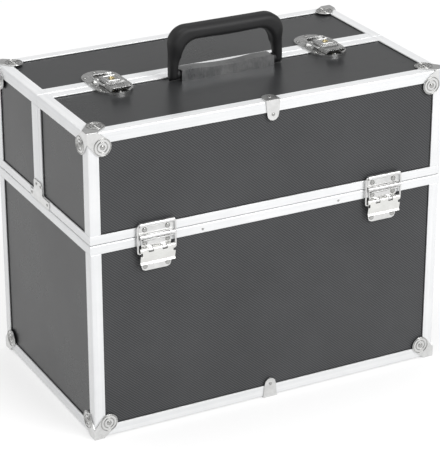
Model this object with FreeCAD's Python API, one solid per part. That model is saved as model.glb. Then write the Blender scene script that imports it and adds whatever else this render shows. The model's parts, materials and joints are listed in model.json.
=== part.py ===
import FreeCAD, Part
import math
import os

# Makeup storage case: a deep lower box, two lid halves that open outwards, two stepped
# trays behind each lid half, hinge-latches at the rim, draw latches and a carrying handle on top.
# Frame: origin at the bottom centre, +X along the case's length, front at -Y, +Z up.

os.makedirs("parts", exist_ok=True)
X = FreeCAD.Vector(1, 0, 0)
Y = FreeCAD.Vector(0, 1, 0)
Z = FreeCAD.Vector(0, 0, 1)

# ---- driving dimensions, in millimetres ----
# case
case_length = 370.0          # over the aluminium rails
case_depth = 216.0           # over the aluminium rails
case_height = 305.0          # floor to the top of the lid rails
seam_height = 197.5          # where the lid halves meet the box
seam_gap = 0.3
meet_y = 4.5                 # where the two lid halves meet
meet_gap = 0.3
panel_thickness = 4.5
pad_thickness = 3.0
# aluminium rails
rail_leg = 11.0
rail_thickness = 1.5
rail_radius = 1.2
rim_band = 9.0
rim_inner_leg = 7.0
inner_leg_thickness = 1.0
front_top_band = 11.5
rear_top_band = 11.5
front_end_band = 6.5
rear_end_band = 13.5
# corner caps, corner plates and edge clips
cap_thickness = 1.2
cap_lobe_radius = 9.0
cap_lobe_offset = 14.0
cap_edge = 9.0
plate_thickness = 1.0
plate_foot = 22.0
plate_head = 21.0
clip_width = 15.0
clip_tip_width = 12.0
clip_drop = 19.0
clip_reach = 14.0
plate_radius = 2.0
plate_inset = 0.5            # corner plate's edges inside the rails' edges
# hinge-latches on the front and rear rim
latch_from_end = 65.0        # case end to the latch's middle
latch_width = 35.0
base_width = 30.0
sheet = 1.2
axis_out = 3.0               # hinge axis in front of the rails
knuckle_radius = 2.5
knuckle_clearance = 0.3
cradle_wall = 1.2
cradle_back = -125.0         # degrees round the hinge axis, 0 facing out
cradle_front = -20.0
leaf_foot = 0.8              # seam to the leaf's flat
leaf_height = 11.8           # seam to the centre of the leaf's rolled top edge
leaf_roll_out = 2.4
leaf_roll_radius = 2.3
base_bottom = 34.5           # seam to the base's lower edge
base_corner = 4.0
base_top = 2.7               # seam to the base's upper edge
rim_step_gap = 0.3
lug_width = 4.4
lug_spacing = 14.0
lug_root = 1.6               # half height of a lug where it leaves the base
lug_sunk = 0.7               # lug's foot under the base's face
lever_drop = 12.6            # seam to the lever's pivot
lever_out = 3.4
lever_roll_radius = 2.0
lever_pin_radius = 1.0
lever_length = 14.0
lever_sheet = 0.96
lever_waist = 1.2            # depth of the finger hollow
lever_waist_up = 2.0         # above the lever's lower edge
lever_swell_up = 7.6
lever_lip = 1.0
lever_window = 2.6           # window for a lug, below the pin
bail_wire = 1.0              # radius
bail_half_span = 19.0
bail_bend = 0.9
bail_bottom = 16.0
bail_tip = 15.7
notch_below = 2.0            # lever's notch round the bail's turned-in end
notch_above = 1.4
pin_clearance = 0.08
side_clearance = 0.3
# draw latches on top
top_latch_from_end = 71.0
top_latch_half_width = 18.5
top_latch_front = 32.5       # from the meeting line to the front tip
top_latch_rear = 32.5
top_pivot_back = 3.7         # pivot ahead of the meeting line
top_pivot_up = 4.2
top_pin_radius = 1.2
ear_inner = 6.3
ear_outer = 7.5
ear_radius = 2.4
ear_front = 5.0
ear_sunk = 0.2
top_lever_half = 9.2
top_lever_top = 8.0
top_lever_step = 14.8        # pivot to the step in the lever's top
top_lever_length = 29.8
top_lever_lip = 5.9
heel = 2.6                   # lever's end behind the pivot
lip_slope = 2.0
lip_curl = 1.5
lip_end = 0.9
pin_head = 0.3               # pivot pin proud of the lever
catch_gap = 0.2
catch_hook = 1.5
catch_up = 1.8               # catch above the bail
draw_pivot = 12.0            # lever pivot to bail pivot
draw_length = 28.0
draw_wire = 0.9
draw_half_span = 10.9
draw_bend = 1.3
lock_radius = 3.2
lock_ahead = 6.8
lock_below = 1.0             # barrel under the lever's pivot height
lock_proud = 0.6
keyway_width = 1.0
keyway_share = 0.6
keyway_depth = 1.2
# handle
handle_y = -15.0
handle_side_gap = 2.5        # handle's leg to the channel's end
handle_base_depth = 13.0
handle_base_height = 11.0
handle_base_wall = 1.5
handle_base_edge = 2.0
handle_base_dip = 1.8        # hollow along the channel's top
handle_base_flat = 0.62      # share of the half length that the hollow takes
handle_pivot_up = 6.0        # above the lid panel
handle_pin_radius = 2.4
handle_pin_head = 3.4
handle_pin_head_length = 1.8
handle_pin_inside = 3.5      # head behind the channel's end wall
handle_pin_stop = 1.5        # pin's end to the leg's outer face
handle_bore_stop = 1.0
handle_span = 119.0
handle_leg = 8.0
handle_foot_radius = 5.4
handle_boss_radius = 4.8
handle_flare = 0.4           # leg's side above the foot
handle_flare_up = 12.0
handle_shoulder = 4.0        # grip's full depth starts below its underside
handle_depth = 18.0
handle_height = 51.0         # above the lid rails
handle_grip = 13.0
handle_outer_radius = 16.0
handle_inner_radius = 9.0
handle_edge = 5.0
# cantilever trays
tray_end_gap = 2.8           # tray's end to the arms
tray_middle_gap = 7.0        # tray's inner wall to the case's middle
tray_wall = 2.0
tray_floor = 2.0
tray_lip = 3.0
tray_lip_out = 1.0
tray_corner = 6.0
cell_corner = 4.0
tray_from_axis = 12.0        # hinge axis to the tray's outer wall
lower_tray_bottom = 11.0     # above the seam
lower_tray_extra = 7.0       # lower tray deeper than the upper
tray_gap = 6.0               # between the two trays
tray_top_gap = 17.5          # upper tray to the lid panel
tray_cells = 4
arm_thickness = 1.5
arm_width = 9.0
arm_pivot_in = 16.0          # from the hinge axis towards the middle
arm_pivot_up = 6.0
arm_spacing = 20.0
arm_pin_inset = 5.95         # inner arm's upper pin to the tray's inner wall
lower_pin_rise = 20.712      # above the lower tray's bottom
upper_pin_rise = 4.066       # above the upper tray's bottom
stud_below_pin = 21.0        # stay's stud to the upper pin, along the arm
arm_pin_radius = 2.0
tray_pin_shoulder = 3.5
tray_pin_head = 3.0
tray_pin_head_length = 0.5
arm_wall_gap = 4.7           # end panel to the arms
face_gap = 0.1               # between pieces that slide on each other
shoulder_gap = 0.2
bracket_thickness = 1.8
bracket_rail_gap = 0.3
bracket_up = 6.0
bracket_corner = 5.0
bracket_pad_corner = 3.0
bracket_drop = 34.0
bracket_margin = 5.2
bracket_head = 0.9
bracket_head_radius = 3.6
# stays between lid and arms
stay_back = 13.963           # lid pin from the arm's stud, towards the hinge
stay_rise = 17.433
stay_far = 68.0              # lid pin to the slot's far end
stay_end = 2.0
stay_width = 9.0
stay_slot_play = 0.6
stay_offset = 0.9            # arm's outer face to the stay's inner face
stud_head = 3.2
stud_head_length = 0.5
stud_sunk = 0.3
stay_pivot_shoulder = 3.5
# how finely small pieces are drawn
pin_sides = 8
roll_sides = 12
cut_margin = 1.0             # cutting tools run past what they cut

# ---- derived planes ----
half_l = case_length / 2
half_d = case_depth / 2
panel_x = half_l - rail_thickness
panel_y = half_d - rail_thickness
inner_x = panel_x - panel_thickness
inner_y = panel_y - panel_thickness
floor_z = cap_thickness
floor_top = floor_z + rail_thickness + panel_thickness
rim_top = seam_height - seam_gap / 2
lid_bottom = seam_height + seam_gap / 2
lid_panel_top = case_height - rail_thickness
lid_panel_under = lid_panel_top - panel_thickness
axis_y = half_d + axis_out
latch_x = half_l - latch_from_end
top_latch_x = half_l - top_latch_from_end
pivot_y = meet_y - top_pivot_back
handle_base_length = handle_span - 2 * (handle_leg + handle_side_gap)
arm_outer_face = inner_x - arm_wall_gap
arm_inner_face = arm_outer_face - arm_thickness
tray_length = 2 * (arm_inner_face - tray_end_gap)
tray_room = lid_panel_under - seam_height - lower_tray_bottom - tray_gap - tray_top_gap
upper_tray_height = (tray_room - lower_tray_extra) / 2
lower_tray_height = upper_tray_height + lower_tray_extra
upper_tray_bottom = lower_tray_bottom + lower_tray_height + tray_gap
tray_depth = axis_y - tray_from_axis - tray_middle_gap
arm_run = tray_from_axis + tray_depth - arm_pin_inset - arm_pivot_in - arm_spacing
arm_rise = upper_tray_bottom + upper_pin_rise - arm_pivot_up
arm_lean = math.degrees(math.atan2(arm_run, arm_rise))     # from upright when closed
upper_pin_reach = math.hypot(arm_run, arm_rise)
lower_pin_share = (lower_tray_bottom + lower_pin_rise - arm_pivot_up) / arm_rise
lower_pin_reach = upper_pin_reach * lower_pin_share
stay_pin_reach = upper_pin_reach - stud_below_pin
stud_share = stay_pin_reach / upper_pin_reach
stay_in = arm_pivot_in + arm_run * stud_share - stay_back
stay_up = arm_pivot_up + arm_rise * stud_share + stay_rise
stay_near = math.hypot(stay_back, stay_rise)
stay_lean = math.degrees(math.atan2(stay_rise, stay_back))
lug_shifts = (-lug_spacing / 2, lug_spacing / 2)
stay_inner_face = arm_outer_face + stay_offset
stay_outer_face = stay_inner_face + arm_thickness
meet_face = {-1: meet_y - meet_gap / 2, 1: meet_y + meet_gap / 2}
lid_name = {-1: "front", 1: "rear"}
top_band = {-1: front_top_band, 1: rear_top_band}
end_band = {-1: front_end_band, 1: rear_end_band}


# ---- drawing helpers ----
def box(x0, x1, y0, y1, z0, z1):
    low = FreeCAD.Vector(min(x0, x1), min(y0, y1), min(z0, z1))
    return Part.makeBox(abs(x1 - x0), abs(y1 - y0), abs(z1 - z0), low)


def pin(start, direction, radius, length, sides=pin_sides):
    """Small pin or wire with a few flats, its edges on the radius."""
    across = Y if abs(direction.x) > 0.5 else X
    up = direction.cross(across)
    turns = [math.tau * (i + 0.5) / sides for i in range(sides)]
    corners = [start + (across * math.cos(t) + up * math.sin(t)) * radius for t in turns]
    return Part.Face(Part.makePolygon(corners + corners[:1])).extrude(direction * length)


def bore(start, direction, radius, length, sides=pin_sides):
    """Cutter for a hole whose flats touch the radius from outside."""
    return pin(start, direction, radius / math.cos(math.pi / sides), length, sides)


def outline(path, origin, across, up):
    """Closed wire in a plane: (a, b) draws a line, (via, end) draws an arc through via."""
    def place(point):
        return origin + across * point[0] + up * point[1]

    edges = []
    here = path[0]
    for step in path[1:] + [path[0]]:
        if isinstance(step[0], tuple):
            edges.append(Part.Arc(place(here), place(step[0]), place(step[1])).toShape())
            here = step[1]
        elif math.dist(step, here) > 1e-6:
            edges.append(Part.LineSegment(place(here), place(step)).toShape())
            here = step
    return Part.Wire(edges)


def profile(path, origin, across, up, sweep):
    """Solid made by sweeping a closed outline along a straight line."""
    return Part.Face(outline(path, origin, across, up)).extrude(sweep)


def arc_step(centre, radius, start_deg, end_deg):
    """Arc step for an outline, from start_deg to end_deg about a centre."""
    mid = math.radians((start_deg + end_deg) / 2)
    end = math.radians(end_deg)
    via = (centre[0] + radius * math.cos(mid), centre[1] + radius * math.sin(mid))
    return (via, (centre[0] + radius * math.cos(end), centre[1] + radius * math.sin(end)))


def on_circle(centre, radius, degrees):
    angle = math.radians(degrees)
    return (centre[0] + radius * math.cos(angle), centre[1] + radius * math.sin(angle))


def flats(centre, radius, start_deg, end_deg, count):
    """A small rounding drawn as a few flats: the points after its start."""
    turn = (end_deg - start_deg) / count
    return [on_circle(centre, radius, start_deg + turn * (i + 1)) for i in range(count)]


def round_rect(a0, a1, b0, b1, radius, count=2):
    """Rectangle path with corners rounded by a few flats."""
    return [
        (a1 - radius, b0), *flats((a1 - radius, b0 + radius), radius, -90, 0, count),
        (a1, b1 - radius), *flats((a1 - radius, b1 - radius), radius, 0, 90, count),
        (a0 + radius, b1), *flats((a0 + radius, b1 - radius), radius, 90, 180, count),
        (a0, b0 + radius), *flats((a0 + radius, b0 + radius), radius, 180, 270, count)]


def bar_path(start, angle, near, far, width, count=5):
    """Round-ended flat bar from near to far along a direction, in degrees."""
    tail = on_circle(start, near, angle)
    head = on_circle(start, far, angle)
    half = width / 2
    return [
        on_circle(head, half, angle - 90), *flats(head, half, angle - 90, angle + 90, count),
        on_circle(tail, half, angle + 90), *flats(tail, half, angle + 90, angle + 270, count)]


def fuse(shapes):
    return shapes[0].fuse(shapes[1:]).removeSplitter()


def mirror_x(shape):
    return shape.mirror(FreeCAD.Vector(0, 0, 0), X)


def mirror_y(shape):
    return shape.mirror(FreeCAD.Vector(0, 0, 0), Y)


def both_ends(shapes):
    """The same pieces at the +X and -X ends."""
    return shapes + [mirror_x(shape) for shape in shapes]


def save(name, solids):
    Part.makeCompound(solids).exportStep("parts/" + name + ".step")


# ---- rails ----
def angle_rail(corner, leg_a, leg_b, sweep, length_a=rail_leg, length_b=rail_leg):
    """L-shaped edge rail with a rounded outer corner."""
    t = rail_thickness
    r = rail_radius
    path = [
        (length_a, 0), (length_a, t), (t, t), (t, length_b), (0, length_b), (0, r),
        *flats((r, r), r, 180, 270, 2)]
    return profile(path, corner, leg_a, leg_b, sweep)


def channel_rail(corner, outer_dir, inward, sweep, outer_leg):
    """U-shaped rail over a panel's edge; outer_dir runs down the panel, inward across it."""
    t = rail_thickness
    r = rail_radius
    width = rail_thickness + panel_thickness + inner_leg_thickness
    path = [
        (0, r), *flats((r, r), r, 180, 270, 2),
        (width, 0), (width, rim_inner_leg), (width - inner_leg_thickness, rim_inner_leg),
        (width - inner_leg_thickness, t), (t, t), (t, outer_leg), (0, outer_leg)]
    return profile(path, corner, inward, outer_dir, sweep)


def mitre(side, low, high):
    """Plan wedge that cuts a front or rear rail to 45 degree ends."""
    reach = half_d / 2
    path = [
        (-half_l, side * half_d), (half_l, side * half_d),
        (half_l - reach, side * (half_d - reach)), (-half_l + reach, side * (half_d - reach))]
    return profile(path, Z * low, X, Y, Z * (high - low))


# ---- lower box ----
def lower_panels():
    wall_top = rim_top - rail_thickness
    long_panels = [
        box(-panel_x, panel_x, side * inner_y, side * panel_y, floor_top, wall_top)
        for side in (-1, 1)]
    end_panel = box(inner_x, panel_x, -inner_y, inner_y, floor_top, wall_top)
    floor = box(-panel_x, panel_x, -panel_y, panel_y, floor_z + rail_thickness, floor_top)
    pad = box(-inner_x, inner_x, -inner_y, inner_y, floor_top, floor_top + pad_thickness)
    save("lower_long_panels", long_panels)
    save("lower_end_panels", both_ends([end_panel]))
    save("bottom_panel", [floor])
    save("compartment_pad", [pad])


def ring_of_rails(make_long, make_end, low, high):
    """Four rails round the case with mitred corners."""
    wedges = {side: mitre(side, low, high) for side in (-1, 1)}
    rails = [make_long(side).common(wedges[side]) for side in (-1, 1)]
    end = make_end().cut([wedges[-1], wedges[1]])
    return rails + both_ends([end])


def bottom_rails():
    def make_long(side):
        corner = FreeCAD.Vector(-half_l, side * half_d, floor_z)
        return angle_rail(corner, Y * -side, Z, X * case_length)

    def make_end():
        corner = FreeCAD.Vector(half_l, -half_d, floor_z)
        return angle_rail(corner, X * -1, Z, Y * case_depth)

    return ring_of_rails(make_long, make_end, floor_z, floor_z + rail_leg)


def lower_rim():
    def make_long(side):
        corner = FreeCAD.Vector(-half_l, side * half_d, rim_top)
        return channel_rail(corner, Z * -1, Y * -side, X * case_length, rim_band)

    def make_end():
        corner = FreeCAD.Vector(half_l, -half_d, rim_top)
        return channel_rail(corner, Z * -1, X * -1, Y * case_depth, rim_band)

    return ring_of_rails(make_long, make_end, rim_top - rim_band, rim_top)


def corner_posts(side, low, high):
    corner = FreeCAD.Vector(half_l, side * half_d, low)
    return both_ends([angle_rail(corner, X * -1, Y * -side, Z * (high - low))])


def corner_cap(side, height, up):
    """Stamped cap with a round lobe on each of the corner's three faces; set flush underneath."""
    corner = FreeCAD.Vector(half_l, side * half_d, height)
    inward = [X * -1, Y * -side, Z * -up]
    t = cap_thickness
    c = (cap_lobe_offset, cap_lobe_offset)
    path = [
        (-t, -t), (cap_edge, -t), on_circle(c, cap_lobe_radius, -40),
        *flats(c, cap_lobe_radius, -40, 130, 9), (-t, cap_edge)]
    lobes = []
    for i in range(3):
        normal = inward[(i + 2) % 3] * -1
        lobes.append(profile(path, corner, inward[i], inward[(i + 1) % 3], normal * t))
    return fuse(lobes)


def edge_clip(height, up):
    """Riveted strip wrapped over the middle of a front edge rail."""
    t = cap_thickness
    half = clip_width / 2
    tip = clip_tip_width / 2
    face = FreeCAD.Vector(0, -half_d, height)
    front = profile([
        (-half, t), (half, t), (tip, tip - clip_drop),
        *flats((0, tip - clip_drop), tip, 0, -180, 6)], face, X, Z * up, Y * -t)
    back = profile([
        (-half, 0), (half, 0), (half, clip_reach - half),
        *flats((0, clip_reach - half), half, 0, 180, 6)], face, X, Y, Z * up * t)
    return fuse([front, back])


# ---- hinge-latches: local plane is (out, up) from the rail face at the seam ----
def seam_point(x):
    return FreeCAD.Vector(x, -half_d, seam_height)


def latch_sweep(path, x, width, shift=0.0):
    start = seam_point(x - width / 2 + shift)
    return profile(path, start, Y * -1, Z, X * width)


def latch_place(out, up, x):
    return seam_point(x) - Y * out + Z * up


def hinge_leaf(x):
    """Lid leaf: lower edge rolled into the hinge knuckle, upper edge rolled round the bail."""
    low = x - latch_width / 2
    plate = latch_sweep(
        [(0, leaf_foot), (sheet, leaf_foot), (sheet, leaf_height), (0, leaf_height)], x, latch_width)
    knuckle = pin(latch_place(axis_out, 0, low), X, knuckle_radius, latch_width, roll_sides)
    edge = latch_place(leaf_roll_out, leaf_height, low)
    roll = pin(edge, X, leaf_roll_radius, latch_width, roll_sides)
    return fuse([plate, knuckle, roll]).cut(bore(edge, X, bail_wire + pin_clearance, latch_width))


def latch_base(x):
    """Box plate: half-round cradle for the knuckle, pressed body and two lever lugs."""
    cradle_in = knuckle_radius + knuckle_clearance
    centre = (axis_out, 0)
    cradle = latch_sweep([
        on_circle(centre, cradle_in + cradle_wall, cradle_back),
        *flats(centre, cradle_in + cradle_wall, cradle_back, cradle_front, 5),
        on_circle(centre, cradle_in, cradle_front),
        *flats(centre, cradle_in, cradle_front, cradle_back, 5)], x, base_width)
    step = rim_band + rim_step_gap
    body = latch_sweep([
        (0, -base_top), (0, -step), (-rail_thickness, -step), (-rail_thickness, -base_bottom),
        (sheet, -base_bottom), (sheet, -base_top)], x, base_width)
    face = profile(
        round_rect(-base_width / 2, base_width / 2, -base_bottom, base_corner, base_corner),
        seam_point(x) + Y * rail_thickness, X, Z, Y * -(rail_thickness + axis_out * 3))
    foot = sheet - lug_sunk
    lugs = [latch_sweep([
        (foot, -lever_drop - lug_root), (lever_out, -lever_drop - lever_roll_radius),
        *flats((lever_out, -lever_drop), lever_roll_radius, -90, 90, 4),
        (foot, -lever_drop + lug_root)], x, lug_width, shift) for shift in lug_shifts]
    hole = bore(
        latch_place(lever_out, -lever_drop, x - base_width / 2), X, lever_pin_radius + pin_clearance,
        base_width)
    return fuse([cradle, body.common(face)] + lugs).cut(hole)


def latch_pin(x):
    start = latch_place(lever_out, -lever_drop, x - latch_width / 2)
    return pin(start, X, lever_pin_radius, latch_width)


def latch_lever(x):
    """Smooth lever: top edge rolled round its pin, curved sheet, finger lip, bail notches."""
    half = latch_width / 2
    pivot = latch_place(lever_out, -lever_drop, x - half)
    roll = pin(pivot, X, lever_roll_radius, latch_width, roll_sides)
    face = lever_out + lever_roll_radius
    end = -lever_drop - lever_length
    waist = (face - lever_waist, end + lever_waist_up)
    swell = end + lever_swell_up
    bow = face - lever_sheet / 10
    plate = latch_sweep([
        (face, -lever_drop), (bow, swell), waist, (face - lug_sunk / 3, end),
        (face - lever_lip, end - lever_lip / 2), (waist[0] - lever_sheet, waist[1]),
        (bow - lever_sheet, swell), (face - lever_sheet, -lever_drop)], x, latch_width)
    cuts = [bore(pivot, X, lever_pin_radius + pin_clearance, latch_width)]
    out = face + cut_margin
    window = -lever_drop - lever_window
    behind = face - lever_sheet - side_clearance / 2
    for shift in lug_shifts:
        cuts.append(latch_sweep(
            [(0, window), (behind, window), (out, window + notch_above),
             (out, -lever_drop + lever_roll_radius + cut_margin),
             (0, -lever_drop + lever_roll_radius + cut_margin)],
            x, lug_width + 2 * side_clearance, shift))
    notch = half - bail_tip + side_clearance
    for way in (-1, 1):
        cuts.append(latch_sweep(
            [(0, -bail_bottom - notch_below), (out, -bail_bottom - notch_below),
             (out, -bail_bottom + notch_above), (0, -bail_bottom + notch_above)],
            x, notch + cut_margin, way * (half - (notch - cut_margin) / 2)))
    return fuse([roll, plate]).cut(cuts)


def bent_wire(points, radius, bend):
    """Wire along straight runs, each corner turned by one slanting run with mitred ends."""
    spine = points[:1]
    for before, corner, after in zip(points, points[1:], points[2:]):
        spine.append(corner + (before - corner).normalize() * bend)
        spine.append(corner + (after - corner).normalize() * bend)
    spine.append(points[-1])
    runs = [(b - a).normalize() for a, b in zip(spine, spine[1:])]
    normal = runs[0].cross(runs[1]).normalize()
    across = runs[0].cross(normal)
    turns = [math.tau * (i + 0.5) / pin_sides for i in range(pin_sides)]
    ring = [spine[0] + (across * math.cos(t) + normal * math.sin(t)) * radius for t in turns]
    rings = [ring]
    for i, run in enumerate(runs):
        mitre_normal = run + runs[min(i + 1, len(runs) - 1)]
        scale = run.dot(mitre_normal)
        ring = [p + run * ((spine[i + 1] - p).dot(mitre_normal) / scale) for p in ring]
        rings.append(ring)
    return Part.makeLoft([Part.makePolygon(ring + ring[:1]) for ring in rings], True, True)


def latch_bail(x):
    """Wire bail hanging from the leaf's rolled edge, ends turned in beside the lever."""
    def point(side, up):
        return seam_point(x + side) - Y * leaf_roll_out + Z * up

    points = [
        point(-bail_tip, -bail_bottom), point(-bail_half_span, -bail_bottom),
        point(-bail_half_span, leaf_height), point(bail_half_span, leaf_height),
        point(bail_half_span, -bail_bottom), point(bail_tip, -bail_bottom)]
    return bent_wire(points, bail_wire, bail_bend)


# ---- draw latches on top: local plane is (y, up) from the lid rails' top ----
def top_point(x, y, up):
    return FreeCAD.Vector(x, y, case_height + up)


def latch_pan(x, side):
    """Half of the oval latch plate, with a skirt down to the lid panel."""
    w = top_latch_half_width
    straight = meet_face[side]
    tip = meet_y + (top_latch_rear if side > 0 else -top_latch_front)
    centre = tip - side * w

    def half_oval(inset):
        r = w - inset
        return [(-r, straight), (r, straight), (r, centre), *flats((0, centre), r, 0, side * 180, 10)]

    plate = profile(half_oval(0), top_point(x, 0, 0), X, Y, Z * sheet)
    skirt_base = top_point(x, 0, -rail_thickness)
    skirt = profile(half_oval(0), skirt_base, X, Y, Z * rail_thickness)
    hollow = profile(half_oval(sheet), skirt_base, X, Y, Z * rail_thickness)
    clear = box(
        x - w - cut_margin, x + w + cut_margin, meet_y, meet_face[side] + side * (
            top_band[side] + side_clearance), case_height - rail_leg, case_height)
    return fuse([plate, skirt.cut([hollow, clear])])


def top_latch_base(x):
    """Front half of the oval with the lever's two ears and its pivot pin."""
    shapes = [latch_pan(x, -1)]
    foot = sheet - ear_sunk
    ear_path = [
        (pivot_y - ear_front, foot), (pivot_y + ear_radius, foot), (pivot_y + ear_radius, top_pivot_up),
        *flats((pivot_y, top_pivot_up), ear_radius, 0, 180, 6)]
    for way in (-1, 1):
        start = x + way * ear_inner
        shapes.append(profile(
            ear_path, top_point(start, 0, 0), Y, Z, X * way * (ear_outer - ear_inner)))
    pin_half = top_lever_half + pin_head
    pin_start = top_point(x - pin_half, pivot_y, top_pivot_up)
    shapes.append(pin(pin_start, X, top_pin_radius, pin_half * 2))
    return fuse(shapes)


def top_latch_lever(x):
    """Stamped lever: raised lock housing, stepped finger lip, two side skirts."""
    p = pivot_y
    h = top_pivot_up
    t = sheet
    skirt_bottom = h - heel
    top = top_lever_top
    step = p - top_lever_step
    tip = p - top_lever_length
    lip = top_lever_lip
    mouth = tip - 2 * lip_curl
    back = p + heel + cut_margin
    outer = [
        (p, skirt_bottom), *flats((p, h), heel, -90, 0, 4), (p + heel, top), (step, top),
        (step - lip_slope, lip), (tip + lip_slope, lip), (tip, lip + lip_curl),
        (tip - lip_end, lip + lip_curl * 2 / 3), (tip + t, lip - t), (tip + heel * 2, skirt_bottom)]
    inner = [
        (back, 0), (back, top - t), (step + t / 2, top - t), (step + t / 2 - lip_slope, lip - t),
        (mouth, lip - t), (mouth, 0)]
    half = top_lever_half
    solid = profile(outer, top_point(x - half, 0, 0), Y, Z, X * half * 2)
    hollow_half = half - t
    hollow = profile(inner, top_point(x - hollow_half, 0, 0), Y, Z, X * hollow_half * 2)
    start = x - half - cut_margin
    width = 2 * (half + cut_margin)
    pivot_hole = bore(top_point(start, p, h), X, top_pin_radius + pin_clearance, width)
    bail_hole = bore(top_point(start, p - draw_pivot, h), X, draw_wire + pin_clearance, width)
    lock = pin(top_point(x, p - lock_ahead, 0), Z, lock_radius, top + cut_margin, roll_sides)
    return solid.cut([hollow, pivot_hole, bail_hole, lock])


def lock_barrel(x):
    """Brass key barrel with a keyway, seated in the lever."""
    centre = top_point(x, pivot_y - lock_ahead, top_pivot_up - lock_below)
    height = top_lever_top - top_pivot_up + lock_below + lock_proud
    barrel = pin(centre, Z, lock_radius, height, roll_sides)
    slot = lock_radius * keyway_share
    keyway = box(
        x - keyway_width / 2, x + keyway_width / 2, centre.y - slot, centre.y + slot,
        centre.z + height - keyway_depth, centre.z + height + cut_margin)
    return barrel.cut(keyway)


def top_latch_bail(x):
    """Wire bail from the lever over the meeting line to the catch."""
    p = pivot_y - draw_pivot
    far = p + draw_length
    tip = top_lever_half - sheet - face_gap
    points = [
        top_point(x - tip, p, top_pivot_up), top_point(x - draw_half_span, p, top_pivot_up),
        top_point(x - draw_half_span, far, top_pivot_up),
        top_point(x + draw_half_span, far, top_pivot_up),
        top_point(x + draw_half_span, p, top_pivot_up), top_point(x + tip, p, top_pivot_up)]
    return bent_wire(points, draw_wire, draw_bend)


def top_latch_catch(x):
    """Rear half of the oval with the upright lip that the bail pulls on."""
    face = pivot_y - draw_pivot + draw_length - draw_wire - catch_gap
    foot = sheet - ear_sunk
    lip = profile(
        [(face - sheet, foot), (face + catch_hook, foot), (face, sheet * 2),
         (face, top_pivot_up + catch_up), (face - sheet, top_pivot_up + catch_up)],
        top_point(x - top_lever_half, 0, 0), Y, Z, X * top_lever_half * 2)
    return fuse([latch_pan(x, 1), lip])


# ---- handle ----
def handle_base():
    """Steel channel on the front lid half with closed ends for the handle's pins."""
    half = handle_base_length / 2
    low = lid_panel_top
    edge = handle_base_edge
    reach = half * handle_base_flat
    dip = handle_base_dip

    def side_view(inset):
        h = handle_base_height - inset
        a = half - inset
        saddle = [(reach * s, h - dip * (1 - s * s)) for s in (1, 0.6, 0.2, -0.2, -0.6, -1)]
        return [
            (-a, 0), (a, 0), (a, h - edge), *flats((a - edge, h - edge), edge, 0, 90, 2),
            *saddle, (-a + edge, h), *flats((-a + edge, h - edge), edge, 90, 180, 2)]

    y0 = handle_y - handle_base_depth / 2
    outer = profile(side_view(0), FreeCAD.Vector(0, y0, low), X, Z, Y * handle_base_depth)
    wall = handle_base_wall
    inner = profile(
        side_view(wall), FreeCAD.Vector(0, y0 + wall, low), X, Z, Y * (handle_base_depth - 2 * wall))
    pin_start = FreeCAD.Vector(-half - cut_margin, handle_y, low + handle_pivot_up)
    holes = bore(pin_start, X, handle_pin_radius + pin_clearance, 2 * (half + cut_margin))
    return outer.cut([inner, holes])


def handle_pins():
    start = FreeCAD.Vector(
        handle_base_length / 2 - handle_base_wall - handle_pin_inside, handle_y,
        lid_panel_top + handle_pivot_up)
    length = handle_span / 2 - handle_pin_stop - start.x
    head = pin(start, X, handle_pin_head, handle_pin_head_length)
    return both_ends([fuse([pin(start, X, handle_pin_radius, length), head])])


def handle_body():
    """Moulded arch: rounded feet round the pins, legs widening into a deep grip."""
    pivot_z = lid_panel_top + handle_pivot_up
    foot = handle_foot_radius
    half = handle_span / 2
    top = case_height + handle_height
    inside = half - handle_leg
    under = top - handle_grip
    ro = handle_outer_radius
    ri = handle_inner_radius
    low = pivot_z - foot
    arch = profile([
        (-half, low), (-inside, low), (-inside, under - ri),
        arc_step((-inside + ri, under - ri), ri, 180, 90),
        (inside - ri, under), arc_step((inside - ri, under - ri), ri, 90, 0), (inside, low),
        (half, low), (half, top - ro), arc_step((half - ro, top - ro), ro, 0, 90),
        (-half + ro, top), arc_step((-half + ro, top - ro), ro, 90, 180)],
        FreeCAD.Vector(0, handle_y - handle_depth, 0), X, Z, Y * handle_depth * 2)
    deep = handle_depth / 2
    edge = handle_edge
    flare = (foot + handle_flare, pivot_z + handle_flare_up)
    side = profile([
        (-foot, pivot_z), *flats((0, pivot_z), foot, 180, 360, 8), flare,
        (deep, under - handle_shoulder), (deep, top - edge),
        *flats((deep - edge, top - edge), edge, 0, 90, 4),
        (-deep + edge, top), *flats((-deep + edge, top - edge), edge, 90, 180, 4),
        (-deep, under - handle_shoulder), (-flare[0], flare[1])],
        FreeCAD.Vector(-half - cut_margin, handle_y, 0), Y, Z, X * 2 * (half + cut_margin))
    body = arch.common(side)
    base_half = handle_base_length / 2
    boss_start = FreeCAD.Vector(base_half + side_clearance, handle_y, pivot_z)
    boss = pin(boss_start, X, handle_boss_radius, inside - base_half, roll_sides)
    hole = bore(
        boss_start - X * cut_margin, X, handle_pin_radius + pin_clearance,
        half - handle_bore_stop + cut_margin - boss_start.x)
    return fuse([body] + both_ends([boss])).cut(both_ends([hole]))


# ---- lid halves ----
def lid_panels(side):
    name = lid_name[side]
    meet = meet_face[side] + side * rail_thickness
    foot = lid_bottom + rail_thickness
    long_panel = box(-panel_x, panel_x, side * inner_y, side * panel_y, foot, lid_panel_under)
    top_panel = box(-panel_x, panel_x, side * panel_y, meet, lid_panel_under, lid_panel_top)
    end_panel = box(inner_x, panel_x, side * inner_y, meet, foot, lid_panel_under)
    save(name + "_lid_panel", [long_panel])
    save(name + "_lid_top_panel", [top_panel])
    save(name + "_lid_end_panels", both_ends([end_panel]))


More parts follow.
